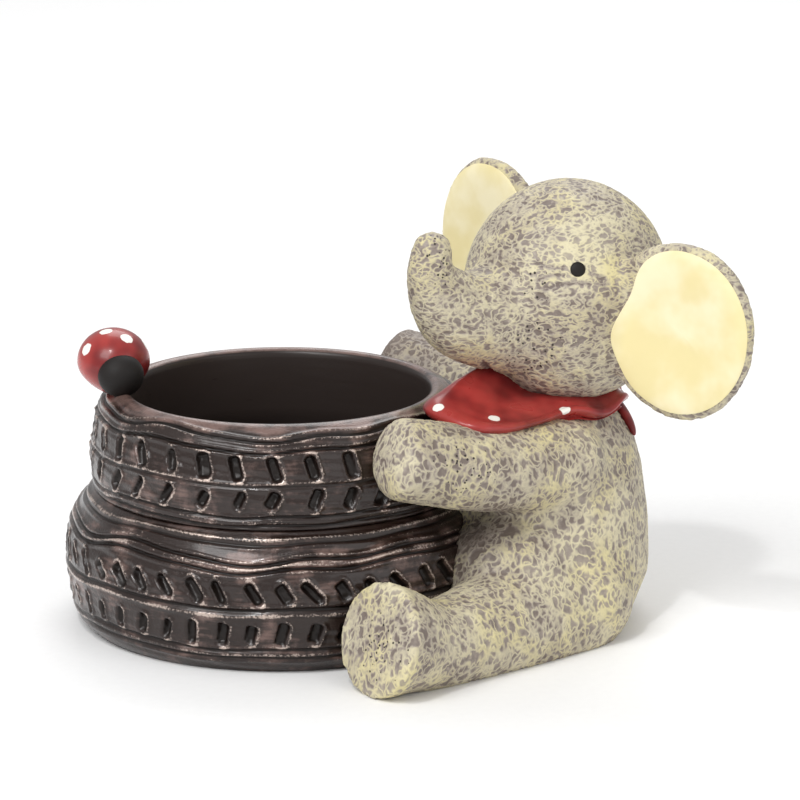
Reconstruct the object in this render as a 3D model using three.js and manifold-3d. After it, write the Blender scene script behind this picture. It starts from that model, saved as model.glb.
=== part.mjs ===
// A resin flower pot: a sitting elephant calf hugs a round pot shaped as two stacked tyres.
// Millimetres, +Z up. The origin is the centre of the pot's flat underside.
// The calf sits on the +X side of the pot and looks over it. Its left side is towards -Y.

import * as THREE from 'three';
import { mergeVertices } from 'three/addons/utils/BufferGeometryUtils.js';
import Module from 'manifold-3d';

const wasm = await Module();
wasm.setup();

// Fits
const seatGap = 0.3;

// Pot
const potHeight = 52.5;
const seamHeight = 30.4;
const cavityRadius = 33;
const cavityCorner = 4;
const floorThickness = 6;
const rimWidth = 4.6;
const rimRounding = 1.8;
const rimSlope = 2.4;
const lowerTyreRadius = 47.7;
const lowerTyreBulgeHeight = 16.5;
const baseInset = 5.3;
const baseEdge = 2;
const lowerShoulderInset = 1.8;
const lowerShoulderDrop = 6;
const upperTyreRadius = 41.9;
const upperBulgeRise = 8.1;
const upperShoulderDrop = 4.1;
const seamInset = 0.5;
const potFacets = 40;

const baseRadius = lowerTyreRadius - baseInset;
const seamRadius = upperTyreRadius - seamInset;
const upperShoulderRadius = cavityRadius + rimWidth + rimSlope;

// Tread of the tyres. Its grooves, ridge and rows of pits stand at shares of each tyre's height.
const lowerTread = { lowGroove: 0.151, lowRow: 0.293, ridge: 0.447, highRow: 0.602, highGroove: 0.743 };
const upperTread = { lowGroove: 0.104, lowRow: 0.299, ridge: 0.457, highRow: 0.615, highGroove: 0.81 };
const lowerTreadPits = 36;
const upperTreadPits = 30;
const pitLength = 5.2;
const pitWidth = 2.5;
const pitDepth = 1.5;
const pitLean = 24;
const lowestPitLean = 10;
const treadRidge = 0.6;
const grooveDepth = 0.9;
const grooveWidth = 1.5;
const grooveWave = 0.55;

// Torso, behind the lower tyre
const torsoSetBack = 9.8;
const torsoHalfWidth = 29;
const torsoHalfDepth = 24.5;
const torsoHeight = 53;
const neckHalfWidth = 15;

const torsoX = lowerTyreRadius + torsoSetBack;

// Legs. The ankles and feet lie against the lower tyre, at angles from the calf's side of the pot.
const hipSetBack = 6.5;
const hipSpread = 17;
const thighRadius = 14;
const thighHeight = 9.5;
const ankleAngle = 54.6;
const ankleRadius = 9.2;
const ankleHeight = 7;
const footAngle = 68.6;
const footRadius = 12.2;
const footHeight = 10.8;
const footPress = 0.9;

// Arms. The elbows and hands lie against the upper tyre, below its rim.
const shoulderSetBack = 3.5;
const shoulderSpread = 17;
const shoulderDrop = 14;
const shoulderRadius = 10.3;
const armRadius = 9;
const elbowAngle = 36.7;
const elbowDrop = 10.7;
const elbowClearance = 2.7;
const handAngle = 57.7;
const handDrop = 6;
const handRadius = 8.8;
const handPress = 1.5;

// Head, set on the neck, turned to the calf's left and leaning to that side
const headSetBack = 5.5;
const headAside = 2;
const headHalfLength = 22.5;
const headHalfWidth = 22;
const headHalfHeight = 23.8;
const headTurn = 38;
const headLean = 7.5;
const neckSink = 1.8;

const headHeight = torsoHeight + headHalfHeight - neckSink;

// Trunk, in the head's own forward and upward directions
const trunkOut = 16.1;
const trunkRootDrop = 5.2;
const trunkSag = 2.5;
const trunkBend = 4.3;
const trunkTipRise = 13.6;
const trunkRootRadius = 13;
const trunkTipRadius = 4.8;

// Ears
const earStandOut = 12.4;
const earSetBack = 3.6;
const earSweep = 18;
const earHalfWidth = 17.2;
const earRootWidth = 19.5;
const earTilt = 7;
const earHalfHeight = 19.4;
const earThickness = 5.4;
const earBelly = 0.6;
const earDish = 2.6;
const earRim = 2.3;
const liningThickness = 1.3;

// Eyes
const eyeRadius = 1.7;
const leftEyeSide = 54;
const rightEyeSide = 74;
const eyeRise = 28;

// Neckerchief. It lies round the neck, and its bib lies out over the arm, level with the pot's rim.
const scarfOverhang = 2.5;
const scarfThroat = 7;
const scarfDrop = 3;
const scarfRise = 9;
const scarfEdge = 2.6;
const scarfLead = 2;
const bibLength = 21;
const bibHalfAngle = 24;
const bibTurn = 11;
const knotTurn = 26.5;
const knotRadius = 4.4;
const knotProud = 2.2;
const tailLength = 10;
const tailWidth = 5.5;
const tailThickness = 3;
const tailRootTurn = 6;
const tailTipTurn = 12;
const tailSwell = 0.8;

const scarfReach = neckHalfWidth + scarfOverhang;
const scarfEdgeHeight = torsoHeight - scarfDrop;
const scarfCrown = torsoHeight + scarfRise;

// Ladybird on the rim
const ladybirdAngle = 180;
const ladybirdHalfLength = 8.6;
const ladybirdHalfWidth = 8;
const ladybirdHalfHeight = 7.4;
const ladybirdSink = 2.2;
const ladybirdHeadRadius = 4.9;
const ladybirdHeadLead = 7;
const ladybirdHeadSink = 0.6;
const ladybirdHeading = 17;

// Finishes
const resinBlack = { color: 0x3a3230, roughness: 0.45, metalness: 0.15 };
const resinGrey = { color: 0xb3ab98, roughness: 0.75, metalness: 0 };
const paintCream = { color: 0xf4e8b4, roughness: 0.6, metalness: 0 };
const paintRed = { color: 0xa93436, roughness: 0.35, metalness: 0 };
const paintBlack = { color: 0x141211, roughness: 0.3, metalness: 0 };

// The calf's two sides, as signs of Y
const left = -1;
const right = 1;

const degrees = Math.PI / 180;
const up = new THREE.Vector3(0, 0, 1);
const { lerp } = THREE.MathUtils;

// Turns a closed geometry into a solid that can be cut and joined.
function solidOf(geometry) {
  const bare = geometry.clone();
  bare.deleteAttribute('normal');
  bare.deleteAttribute('uv');
  const merged = mergeVertices(bare, 1e-4);
  return new wasm.Manifold(new wasm.Mesh({
    numProp: 3,
    vertProperties: new Float32Array(merged.attributes.position.array),
    triVerts: new Uint32Array(merged.index.array),
  }));
}

// Turns a solid back into a geometry.
function geometryOf(solid) {
  const mesh = solid.getMesh();
  const geometry = new THREE.BufferGeometry();
  geometry.setAttribute('position', new THREE.BufferAttribute(new Float32Array(mesh.vertProperties), 3));
  geometry.setIndex(new THREE.BufferAttribute(new Uint32Array(mesh.triVerts), 1));
  geometry.computeVertexNormals();
  return geometry;
}

// Cuts away the neighbours and keeps the main body, without slivers left beyond a neighbour.
function cutBy(solid, ...neighbours) {
  let rest = solid;
  for (const neighbour of neighbours) {
    rest = rest.subtract(neighbour);
  }
  const bodies = rest.decompose();
  bodies.sort((a, b) => b.volume() - a.volume());
  return bodies[0];
}

// Closed skin over rings of points, with one point beyond each end.
// Each ring runs anticlockwise as seen from the last ring's side.
function skin(rings, start, end) {
  const sides = rings[0].length;
  const positions = [...rings.flat(), start, end].flatMap((point) => [point.x, point.y, point.z]);
  const startIndex = rings.length * sides;
  const endIndex = startIndex + 1;
  const indices = [];
  for (let side = 0; side < sides; side += 1) {
    const next = (side + 1) % sides;
    indices.push(startIndex, next, side);
    for (let ring = 0; ring + 1 < rings.length; ring += 1) {
      const near = ring * sides;
      const far = near + sides;
      indices.push(near + side, near + next, far + side);
      indices.push(near + next, far + next, far + side);
    }
    const last = (rings.length - 1) * sides;
    indices.push(endIndex, last + side, last + next);
  }
  const geometry = new THREE.BufferGeometry();
  geometry.setAttribute('position', new THREE.Float32BufferAttribute(positions, 3));
  geometry.setIndex(indices);
  return geometry;
}

// One ring of a skin: an ellipse about a centre, in the plane of two unit directions.
function ellipseRing(centre, across, along, halfAcross, halfAlong, sides) {
  return Array.from({ length: sides }, (_, side) => {
    const angle = (side / sides) * 2 * Math.PI;
    return centre.clone()
      .addScaledVector(across, halfAcross * Math.cos(angle))
      .addScaledVector(along, halfAlong * Math.sin(angle));
  });
}

// A limb: round sections of changing radius along a smooth path, with domed ends.
// Bluntness is each dome's height as a share of its radius.
// Level is a direction that every section keeps, or none for sections that stay upright.
function limb(path, radii, { bluntness = 0.8, grow = 0, sides = 14, steps = 9, level = null } = {}) {
  const curve = new THREE.CatmullRomCurve3(path);
  const radiusCurve = new THREE.SplineCurve(radii.map((radius, index) => new THREE.Vector2(index, radius)));
  const rings = [];
  const ringAt = (centre, tangent, radius) => {
    const across = level ?? new THREE.Vector3().crossVectors(up, tangent).normalize();
    const along = new THREE.Vector3().crossVectors(tangent, across);
    rings.push(ellipseRing(centre, across, along, radius, radius, sides));
  };
  const domeSteps = [60, 30];
  const firstTangent = curve.getTangent(0);
  const lastTangent = curve.getTangent(1);
  const firstRadius = radii[0] + grow;
  const lastRadius = radii[radii.length - 1] + grow;
  for (const angle of domeSteps) {
    const rise = -bluntness * firstRadius * Math.sin(angle * degrees);
    ringAt(path[0].clone().addScaledVector(firstTangent, rise), firstTangent,
      firstRadius * Math.cos(angle * degrees));
  }
  for (let step = 0; step <= steps; step += 1) {
    const share = step / steps;
    ringAt(curve.getPoint(share), curve.getTangent(share), radiusCurve.getPoint(share).y + grow);
  }
  const lastPoint = path[path.length - 1];
  for (const angle of [...domeSteps].reverse()) {
    const rise = bluntness * lastRadius * Math.sin(angle * degrees);
    ringAt(lastPoint.clone().addScaledVector(lastTangent, rise), lastTangent,
      lastRadius * Math.cos(angle * degrees));
  }
  const start = path[0].clone().addScaledVector(firstTangent, -bluntness * firstRadius);
  const end = lastPoint.clone().addScaledVector(lastTangent, bluntness * lastRadius);
  return solidOf(skin(rings, start, end));
}

// An ellipsoid placed by a matrix.
function ellipsoid(halfSizes, matrix, grow = 0, facets = 24) {
  const geometry = new THREE.SphereGeometry(1, facets, Math.round(facets * 0.66));
  geometry.rotateX(90 * degrees);
  geometry.scale(halfSizes.x + grow, halfSizes.y + grow, halfSizes.z + grow);
  geometry.applyMatrix4(matrix);
  return solidOf(geometry);
}

// Everything above the surface that the pot stands on.
function aboveGround() {
  const reach = 1000;
  const geometry = new THREE.BoxGeometry(reach, reach, reach);
  geometry.translate(0, 0, reach / 2);
  return solidOf(geometry);
}

// Radius of a smooth outline at a height, read between close samples of a spline.
function outlineThrough(keys) {
  const samples = new THREE.SplineCurve(keys.map(([radius, height]) => new THREE.Vector2(radius, height)))
    .getPoints(80);
  return (height) => {
    const next = samples.findIndex((sample) => sample.y >= height);
    if (next === 0) return samples[0].x;
    if (next < 0) return samples[samples.length - 1].x;
    const low = samples[next - 1];
    const high = samples[next];
    return THREE.MathUtils.mapLinear(height, low.y, high.y, low.x, high.x);
  };
}

const lowerTyreOutline = outlineThrough([
  [baseRadius, 0],
  [lerp(baseRadius, lowerTyreRadius, 0.7), lowerTyreBulgeHeight / 4],
  [lowerTyreRadius, lowerTyreBulgeHeight],
  [lowerTyreRadius - lowerShoulderInset, seamHeight - lowerShoulderDrop],
  [seamRadius, seamHeight],
]);

const upperTyreOutline = outlineThrough([
  [seamRadius, seamHeight],
  [upperTyreRadius, seamHeight + upperBulgeRise],
  [upperShoulderRadius, potHeight - upperShoulderDrop],
]);

// Height on a tyre at a share of the way from its bottom to its top.
function onLowerTyre(share) {
  return share * seamHeight;
}

function onUpperTyre(share) {
  return lerp(seamHeight, potHeight, share);
}

// Profile points of a groove or a ridge that runs round a tyre; wave says how far it wanders.
function treadLine(outline, height, offset, wave) {
  const half = grooveWidth / 2;
  return [
    { radius: outline(height - half), height: height - half, wave },
    { radius: outline(height) + offset, height, wave },
    { radius: outline(height + half), height: height + half, wave },
  ];
}

function plainPoint(radius, height) {
  return { radius, height, wave: 0 };
}

// A revolved ring whose tread lines wander up and down as it goes round.
function revolve(profile, facets) {
  const points = profile.map(({ radius, height }) => new THREE.Vector2(radius, height));
  const geometry = new THREE.LatheGeometry(points, facets);
  const position = geometry.attributes.position;
  for (let index = 0; index < position.count; index += 1) {
    const angle = (Math.floor(index / points.length) % facets) * (2 * Math.PI / facets);
    const wander = 0.6 * Math.sin(6 * angle + 0.5) + 0.4 * Math.sin(9 * angle + 2);
    const { wave } = profile[index % points.length];
    position.setY(index, position.getY(index) + wave * wander);
  }
  geometry.rotateX(90 * degrees);
  return solidOf(geometry);
}

// Slanted oblong pits of one tread row, as cutters.
function pitRow(outline, height, count, lean, turn) {
  const halfLength = pitLength / 2;
  const halfWidth = pitWidth / 2;
  const oblong = new THREE.Shape([
    new THREE.Vector2(-halfWidth, -halfLength),
    new THREE.Vector2(halfWidth, -halfLength),
    new THREE.Vector2(halfWidth, halfLength),
    new THREE.Vector2(-halfWidth, halfLength),
  ]);
  const radius = outline(height);
  const cutters = [];
  for (let pit = 0; pit < count; pit += 1) {
    const geometry = new THREE.ExtrudeGeometry(oblong, { depth: 2 * pitDepth, bevelEnabled: false });
    geometry.rotateZ(lean * degrees);
    geometry.translate(0, height, radius - pitDepth);
    geometry.rotateX(90 * degrees);
    geometry.rotateZ(((pit + turn) / count) * 2 * Math.PI);
    cutters.push(solidOf(geometry));
  }
  return wasm.Manifold.union(cutters);
}

// Grooves and ridge that run round a tyre, about its two rows of pits.
// A grown copy has no grooves, because its neighbours don't reach into them.
function treadLines(outline, heightAt, tread, grow) {
  const groove = grow > 0 ? 0 : -grooveDepth;
  return [
    ...treadLine(outline, heightAt(tread.lowGroove), groove, grooveWave),
    ...treadLine(outline, heightAt(tread.ridge), treadRidge, grooveWave),
    ...treadLine(outline, heightAt(tread.highGroove), groove, grooveWave),
  ];
}

// Ring of the upper tyre, or a copy grown all over, which is the room that its neighbours leave it.
function upperTyre(grow = 0) {
  const bottom = seamHeight + seatGap - grow;
  const outer = (height) => upperTyreOutline(height) + grow;
  const rimSteps = 3;
  const rim = Array.from({ length: rimSteps + 1 }, (_, step) => {
    const angle = lerp(70, 180, step / rimSteps) * degrees;
    return plainPoint(
      cavityRadius + rimRounding + (rimRounding + grow) * Math.cos(angle),
      potHeight - rimRounding + (rimRounding + grow) * Math.sin(angle),
    );
  });
  const start = plainPoint(cavityRadius - grow, bottom);
  return revolve([
    start,
    plainPoint(outer(seamHeight), bottom),
    ...treadLines(outer, onUpperTyre, upperTread, grow),
    plainPoint(cavityRadius + rimWidth + grow, potHeight - upperShoulderDrop / 3 + grow),
    ...rim,
    start,
  ], potFacets);
}

// Lower tyre with the pot's floor, or its grown copy.
function lowerTyre(grow = 0) {
  const top = seamHeight + grow;
  const outer = (height) => lowerTyreOutline(height) + grow;
  const shoulder = (onLowerTyre(lowerTread.highGroove) + grooveWidth + seamHeight) / 2;
  return revolve([
    plainPoint(0, -grow),
    plainPoint(outer(0), -grow),
    plainPoint(outer(baseEdge), baseEdge),
    ...treadLines(outer, onLowerTyre, lowerTread, grow),
    plainPoint(outer(shoulder), shoulder),
    plainPoint(outer(seamHeight), top),
    plainPoint(cavityRadius - grow, top),
    plainPoint(cavityRadius - grow, floorThickness + cavityCorner),
    plainPoint(cavityRadius - cavityCorner * 0.3, floorThickness + cavityCorner * 0.3),
    plainPoint(cavityRadius - cavityCorner, floorThickness),
    plainPoint(0, floorThickness),
  ], potFacets);
}

// Torso: ellipses stacked from the ground to the neck. Widths and depths are shares of its fullest ones.
const torsoLevels = [
  { share: 0, width: 0.84, depth: 0.86 },
  { share: 0.06, width: 0.95, depth: 0.96 },
  { share: 0.22, width: 1, depth: 1 },
  { share: 0.45, width: 0.94, depth: 0.98 },
  { share: 0.66, width: 0.84, depth: 0.92 },
  { share: 0.82, width: 0.72, depth: 0.82 },
  { share: 0.94, width: 0.58, depth: 0.68 },
].map(({ share, width, depth }) => ({
  height: share * torsoHeight,
  halfWidth: width * torsoHalfWidth,
  halfDepth: depth * torsoHalfDepth,
}));
torsoLevels.push({ height: torsoHeight, halfWidth: neckHalfWidth, halfDepth: neckHalfWidth });

function torso(grow = 0) {
  const facets = 22;
  const backward = new THREE.Vector3(1, 0, 0);
  const side = new THREE.Vector3(0, 1, 0);
  const rings = torsoLevels.map(({ height, halfWidth, halfDepth }) => ellipseRing(
    new THREE.Vector3(torsoX, 0, height === torsoHeight ? height + grow : height),
    backward, side, halfDepth + grow, halfWidth + grow, facets,
  ));
  return solidOf(skin(
    rings, new THREE.Vector3(torsoX, 0, 0), new THREE.Vector3(torsoX, 0, torsoHeight + grow),
  ));
}

// A point that stands proud of the torso's skin, at a height and an angle from the middle of the back.
function onTorso(angle, height, proud) {
  const next = torsoLevels.findIndex((level) => level.height >= height);
  const low = torsoLevels[next - 1];
  const high = torsoLevels[next];
  const share = (height - low.height) / (high.height - low.height);
  return new THREE.Vector3(
    torsoX + (lerp(low.halfDepth, high.halfDepth, share) + proud) * Math.cos(angle * degrees),
    (lerp(low.halfWidth, high.halfWidth, share) + proud) * Math.sin(angle * degrees),
    height,
  );
}

// A point beside the pot, at an angle from the calf's side of its axis.
// Side is -1 for the calf's left and 1 for its right.
function besidePot(side, angle, distance, height) {
  const out = side * distance * Math.sin(angle * degrees);
  return new THREE.Vector3(distance * Math.cos(angle * degrees), out, height);
}

// Leg from the haunch round the lower tyre to a foot with its sole turned forward.
function leg(side, grow = 0) {
  const hip = new THREE.Vector3(torsoX + hipSetBack, side * hipSpread, thighHeight);
  const ankle = besidePot(side, ankleAngle, lowerTyreRadius + ankleRadius, ankleHeight);
  const foot = besidePot(side, footAngle, lowerTyreRadius + footRadius - footPress, footHeight);
  return limb([
    hip,
    hip.clone().lerp(ankle, 0.4),
    ankle,
    ankle.clone().lerp(foot, 0.55),
    foot,
  ], [thighRadius, thighRadius * 0.9, ankleRadius, footRadius * 0.95, footRadius],
  { bluntness: 0.45, grow });
}

// Arm from the shoulder round the upper tyre to a blunt hand.
function arm(side, grow = 0) {
  const shoulder = new THREE.Vector3(
    torsoX + shoulderSetBack, side * shoulderSpread, torsoHeight - shoulderDrop,
  );
  const elbowDistance = upperTyreRadius + armRadius + elbowClearance;
  const elbow = besidePot(side, elbowAngle, elbowDistance, potHeight - elbowDrop);
  const handDistance = upperTyreRadius + handRadius - handPress;
  const hand = besidePot(side, handAngle, handDistance, potHeight - handDrop);
  return limb(
    [shoulder, elbow, elbow.clone().lerp(hand, 0.5), hand],
    [shoulderRadius, armRadius, armRadius, handRadius],
    { bluntness: 0.5, grow },
  );
}

// Head frame: +X forward, +Y to the calf's left, +Z to the crown.
const headMatrix = new THREE.Matrix4().makeTranslation(torsoX + headSetBack, -headAside, headHeight)
  .multiply(new THREE.Matrix4().makeRotationZ((180 + headTurn) * degrees))
  .multiply(new THREE.Matrix4().makeRotationX(-headLean * degrees));

function inHead(x, y, z) {
  return new THREE.Vector3(x, y, z).applyMatrix4(headMatrix);
}

function head(grow = 0) {
  return ellipsoid(new THREE.Vector3(headHalfLength, headHalfWidth, headHalfHeight), headMatrix, grow, 26);
}

// Trunk: sets out low on the face, sweeps forward and curls up to its tip.
function trunk(grow = 0) {
  const rootX = headHalfLength * 0.62;
  const reach = headHalfLength + trunkOut;
  const middleRadius = (trunkRootRadius + trunkTipRadius) / 2;
  return limb([
    inHead(rootX, 0, -trunkRootDrop),
    inHead(lerp(rootX, reach, 0.56), 0, -trunkSag),
    inHead(reach - trunkBend, 0, trunkTipRise * 0.16),
    inHead(reach, 0, trunkTipRise * 0.62),
    inHead(reach, 0, trunkTipRise),
  ], [trunkRootRadius, middleRadius * 1.18, middleRadius * 0.9, trunkTipRadius * 1.22, trunkTipRadius],
  { bluntness: 0.95, grow, steps: 12, level: inHead(0, 1, 0).sub(inHead(0, 0, 0)) });
}

// Ear frame: +X away from the head, +Z up, +Y forward on the right ear and backward on the left.
function earMatrix(side) {
  const place = new THREE.Matrix4().makeTranslation(-earSetBack, -side * (headHalfWidth + earStandOut), 0);
  const turn = new THREE.Matrix4().makeRotationZ(-side * (90 + earSweep) * degrees);
  return headMatrix.clone().multiply(place).multiply(turn);
}

// A rounded shield in the ear's outline: rings run from the middle of one face, over the edge,
// to the middle of the other. Faces are given as depths at shares of the outline.
function shield(matrix, frontSign, sections) {
  const facets = 22;
  const tiltAxis = new THREE.Vector3(0, 1, 0);
  const rings = sections.map(({ share, inset, depth }) => {
    const ring = [];
    for (let facet = 0; facet < facets; facet += 1) {
      const angle = -frontSign * (facet / facets) * 2 * Math.PI;
      const halfWidth = Math.cos(angle) > 0 ? earHalfWidth : earRootWidth;
      const point = new THREE.Vector3(
        Math.cos(angle) * (halfWidth - inset) * share,
        frontSign * depth,
        Math.sin(angle) * (earHalfHeight - inset) * share,
      );
      ring.push(point.applyAxisAngle(tiltAxis, earTilt * degrees).applyMatrix4(matrix));
    }
    return ring;
  });
  const first = sections[0];
  const last = sections[sections.length - 1];
  const start = new THREE.Vector3(0, frontSign * first.depth, 0).applyMatrix4(matrix);
  const end = new THREE.Vector3(0, frontSign * last.depth, 0).applyMatrix4(matrix);
  return solidOf(skin(rings, start, end));
}

// Ear: a dished shield with a round rim and a shallow seat for its painted lining.
// The side is also the sign of its frame's forward direction.
function ear(side) {
  const half = earThickness / 2;
  const brim = half * 0.72;
  return shield(earMatrix(side), side, [
    { share: 0.45, inset: 0, depth: -half - earBelly },
    { share: 0.8, inset: 0, depth: -half },
    { share: 0.95, inset: 0, depth: -half * 0.45 },
    { share: 1, inset: 0, depth: half * 0.2 },
    { share: 1, inset: earRim * 0.35, depth: half * 0.8 },
    { share: 1, inset: earRim, depth: brim },
    { share: 1, inset: earRim, depth: brim - liningThickness },
    { share: 0.6, inset: earRim, depth: half - earDish - liningThickness },
  ]);
}

// Painted lining: a thin dished plate that fills the ear's seat.
function lining(side) {
  const half = earThickness / 2;
  const brim = half * 0.72;
  const inset = earRim + seatGap;
  return shield(earMatrix(side), side, [
    { share: 0.6, inset, depth: half - earDish - liningThickness + seatGap },
    { share: 1, inset, depth: brim - liningThickness + seatGap },
    { share: 1, inset, depth: brim },
    { share: 0.6, inset, depth: half - earDish },
  ]);
}

// Eye: a small round bead on the side of the face.
function eye(side) {
  const reach = Math.cos(eyeRise * degrees);
  const eyeSide = side === left ? leftEyeSide : rightEyeSide;
  const direction = new THREE.Vector3(
    Math.cos(eyeSide * degrees) * reach,
    -side * Math.sin(eyeSide * degrees) * reach,
    Math.sin(eyeRise * degrees),
  );
  const scale = new THREE.Vector3(headHalfLength, headHalfWidth, headHalfHeight);
  const distance = 1 / direction.clone().divide(scale).length();
  const place = direction.multiplyScalar(distance);
  const matrix = headMatrix.clone().multiply(new THREE.Matrix4().makeTranslation(place.x, place.y, place.z));
  return ellipsoid(new THREE.Vector3(eyeRadius, eyeRadius, eyeRadius), matrix, 0, 8);
}

// Neck frame: at the middle of the neck, +X forward as the head is turned.
const neckMatrix = new THREE.Matrix4().makeTranslation(torsoX + headSetBack - scarfLead, -headAside, 0)
  .multiply(new THREE.Matrix4().makeRotationZ((180 + headTurn) * degrees));

// Neckerchief: a cape round the neck that runs out into a broad bib in front.
function neckerchief(grow = 0) {
  const facets = 32;
  const sections = [];
  for (let facet = 0; facet < facets; facet += 1) {
    const angle = (facet / facets) * 2 * Math.PI;
    const turned = angle - bibTurn * degrees;
    const off = Math.abs(THREE.MathUtils.euclideanModulo(turned + Math.PI, 2 * Math.PI) - Math.PI) / degrees;
    const bib = 1 / (1 + (off / bibHalfAngle) ** 4);
    const reach = scarfReach + bibLength * bib + grow;
    const edge = lerp(scarfEdgeHeight, potHeight, bib);
    const at = (radius, height) => new THREE.Vector3(
      radius * Math.cos(angle), radius * Math.sin(angle), height,
    ).applyMatrix4(neckMatrix);
    const crownAt = (share) => edge + scarfEdge / 2 + (scarfCrown - edge) * (1 - share ** 2) + grow;
    const spread = (share) => lerp(scarfThroat, reach, share);
    sections.push([
      at(scarfThroat, edge - scarfEdge - grow),
      at(spread(0.95), edge - scarfEdge - grow),
      at(reach, edge - scarfEdge / 2),
      at(reach, edge + scarfEdge * 0.3),
      ...[0.95, 0.75, 0.5, 0.25].map((share) => at(spread(share), crownAt(share))),
      at(scarfThroat, scarfCrown + grow),
    ]);
  }
  return solidOf(closedRing(sections));
}

// Closed skin over sections that follow each other round a ring.
function closedRing(sections) {
  const sides = sections[0].length;
  const positions = sections.flat().flatMap((point) => [point.x, point.y, point.z]);
  const indices = [];
  sections.forEach((_, index) => {
    const near = index * sides;
    const far = ((index + 1) % sections.length) * sides;
    for (let side = 0; side < sides; side += 1) {
      const next = (side + 1) % sides;
      indices.push(near + side, far + side, near + next);
      indices.push(near + next, far + side, far + next);
    }
  });
  const geometry = new THREE.BufferGeometry();
  geometry.setAttribute('position', new THREE.Float32BufferAttribute(positions, 3));
  geometry.setIndex(indices);
  return geometry;
}

// Knot at the nape.
function knot(grow = 0) {
  const place = onTorso(knotTurn, scarfEdgeHeight, knotProud);
  const matrix = new THREE.Matrix4().makeTranslation(place.x, place.y, place.z)
    .multiply(new THREE.Matrix4().makeRotationZ(knotTurn * degrees));
  return ellipsoid(new THREE.Vector3(knotRadius * 0.85, knotRadius, knotRadius * 0.9), matrix, grow, 12);
}

// One of the knot's two ends, hanging down the back as a flat round-ended strip.
function scarfTail(side) {
  const proud = tailThickness / 2 + seatGap;
  const rootTurn = knotTurn + side * tailRootTurn;
  const tipTurn = knotTurn + side * tailTipTurn;
  const middleHeight = scarfEdgeHeight - tailLength / 2;
  const root = onTorso(rootTurn, scarfEdgeHeight, proud);
  const middle = onTorso((rootTurn + tipTurn) / 2, middleHeight, proud + tailSwell);
  const tip = onTorso(tipTurn, scarfEdgeHeight - tailLength, proud);
  const curve = new THREE.CatmullRomCurve3([root, middle, tip]);
  const outward = new THREE.Vector3(Math.cos(knotTurn * degrees), Math.sin(knotTurn * degrees), 0);
  const widths = [0.45, 0.7, 0.9, 1, 0.95, 0.6];
  const rings = widths.map((width, index) => {
    const share = index / (widths.length - 1);
    const tangent = curve.getTangent(share);
    const across = new THREE.Vector3().crossVectors(outward, tangent).normalize();
    const along = new THREE.Vector3().crossVectors(tangent, across);
    return ellipseRing(curve.getPoint(share), across, along, width * tailWidth / 2, tailThickness / 2, 10);
  });
  const cap = tailThickness / 3;
  const start = root.clone().addScaledVector(curve.getTangent(0), -cap);
  return solidOf(skin(rings, start, tip.clone().addScaledVector(curve.getTangent(1), cap)));
}

// Ladybird frame: on top of the rim, +X the way it walks.
const ladybirdDistance = cavityRadius + rimWidth * 0.8;
const ladybirdHeight = potHeight + ladybirdHalfHeight - ladybirdSink;
const ladybirdMatrix = new THREE.Matrix4()
  .makeRotationZ(ladybirdAngle * degrees)
  .multiply(new THREE.Matrix4().makeTranslation(ladybirdDistance, 0, ladybirdHeight))
  .multiply(new THREE.Matrix4().makeRotationZ((90 + ladybirdHeading) * degrees));

function ladybirdShell(grow = 0) {
  const halfSizes = new THREE.Vector3(ladybirdHalfLength, ladybirdHalfWidth, ladybirdHalfHeight);
  return ellipsoid(halfSizes, ladybirdMatrix, grow, 16);
}

function ladybirdHead() {
  const drop = ladybirdHalfHeight - ladybirdSink - ladybirdHeadRadius + ladybirdHeadSink;
  const matrix = ladybirdMatrix.clone()
    .multiply(new THREE.Matrix4().makeTranslation(ladybirdHeadLead, 0, -drop));
  const halfSizes = new THREE.Vector3(ladybirdHeadRadius, ladybirdHeadRadius, ladybirdHeadRadius);
  return ellipsoid(halfSizes, matrix, 0, 12);
}

// Pieces, each cut clear of what it leans on.
const ground = aboveGround();

const lowerPits = [
  pitRow(lowerTyreOutline, onLowerTyre(lowerTread.lowRow), lowerTreadPits, -lowestPitLean, 0.5),
  pitRow(lowerTyreOutline, onLowerTyre(lowerTread.highRow), lowerTreadPits, pitLean, 0),
];
const upperPits = [
  pitRow(upperTyreOutline, onUpperTyre(upperTread.lowRow), upperTreadPits, -pitLean, 0),
  pitRow(upperTyreOutline, onUpperTyre(upperTread.highRow), upperTreadPits, pitLean, 0),
];
const potRoom = upperTyre(seatGap).add(lowerTyre(seatGap));
const headRoom = head(seatGap);
const torsoRoom = torso(seatGap);
const trunkRoom = trunk(seatGap);
const scarfRoom = neckerchief(seatGap);
const knotRoom = knot(seatGap);
const armRoom = { [left]: arm(left, seatGap), [right]: arm(right, seatGap) };

const group = new THREE.Group();

function addPiece(name, solid, finish) {
  const mesh = new THREE.Mesh(geometryOf(solid), new THREE.MeshStandardMaterial(finish));
  mesh.name = name;
  group.add(mesh);
}

addPiece('lower_tyre', cutBy(lowerTyre(), ...lowerPits), resinBlack);
addPiece('upper_tyre', cutBy(upperTyre(), ...upperPits), resinBlack);
addPiece('torso', cutBy(torso(), potRoom, headRoom), resinGrey);
for (const [label, side] of [['left', left], ['right', right]]) {
  addPiece(`${label}_leg`, cutBy(leg(side).intersect(ground), potRoom, torsoRoom), resinGrey);
  addPiece(`${label}_arm`, cutBy(arm(side), potRoom, torsoRoom, headRoom), resinGrey);
  addPiece(`${label}_ear`, cutBy(ear(side), headRoom), resinGrey);
  addPiece(`${label}_ear_lining`, cutBy(lining(side), headRoom), paintCream);
  addPiece(`${label}_eye`, cutBy(eye(side), headRoom), paintBlack);
  addPiece(`neckerchief_${label}_tail`, cutBy(scarfTail(side), torsoRoom, scarfRoom, knotRoom), paintRed);
}
addPiece('head', head(), resinGrey);
addPiece('trunk', cutBy(trunk(), headRoom), resinGrey);
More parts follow.
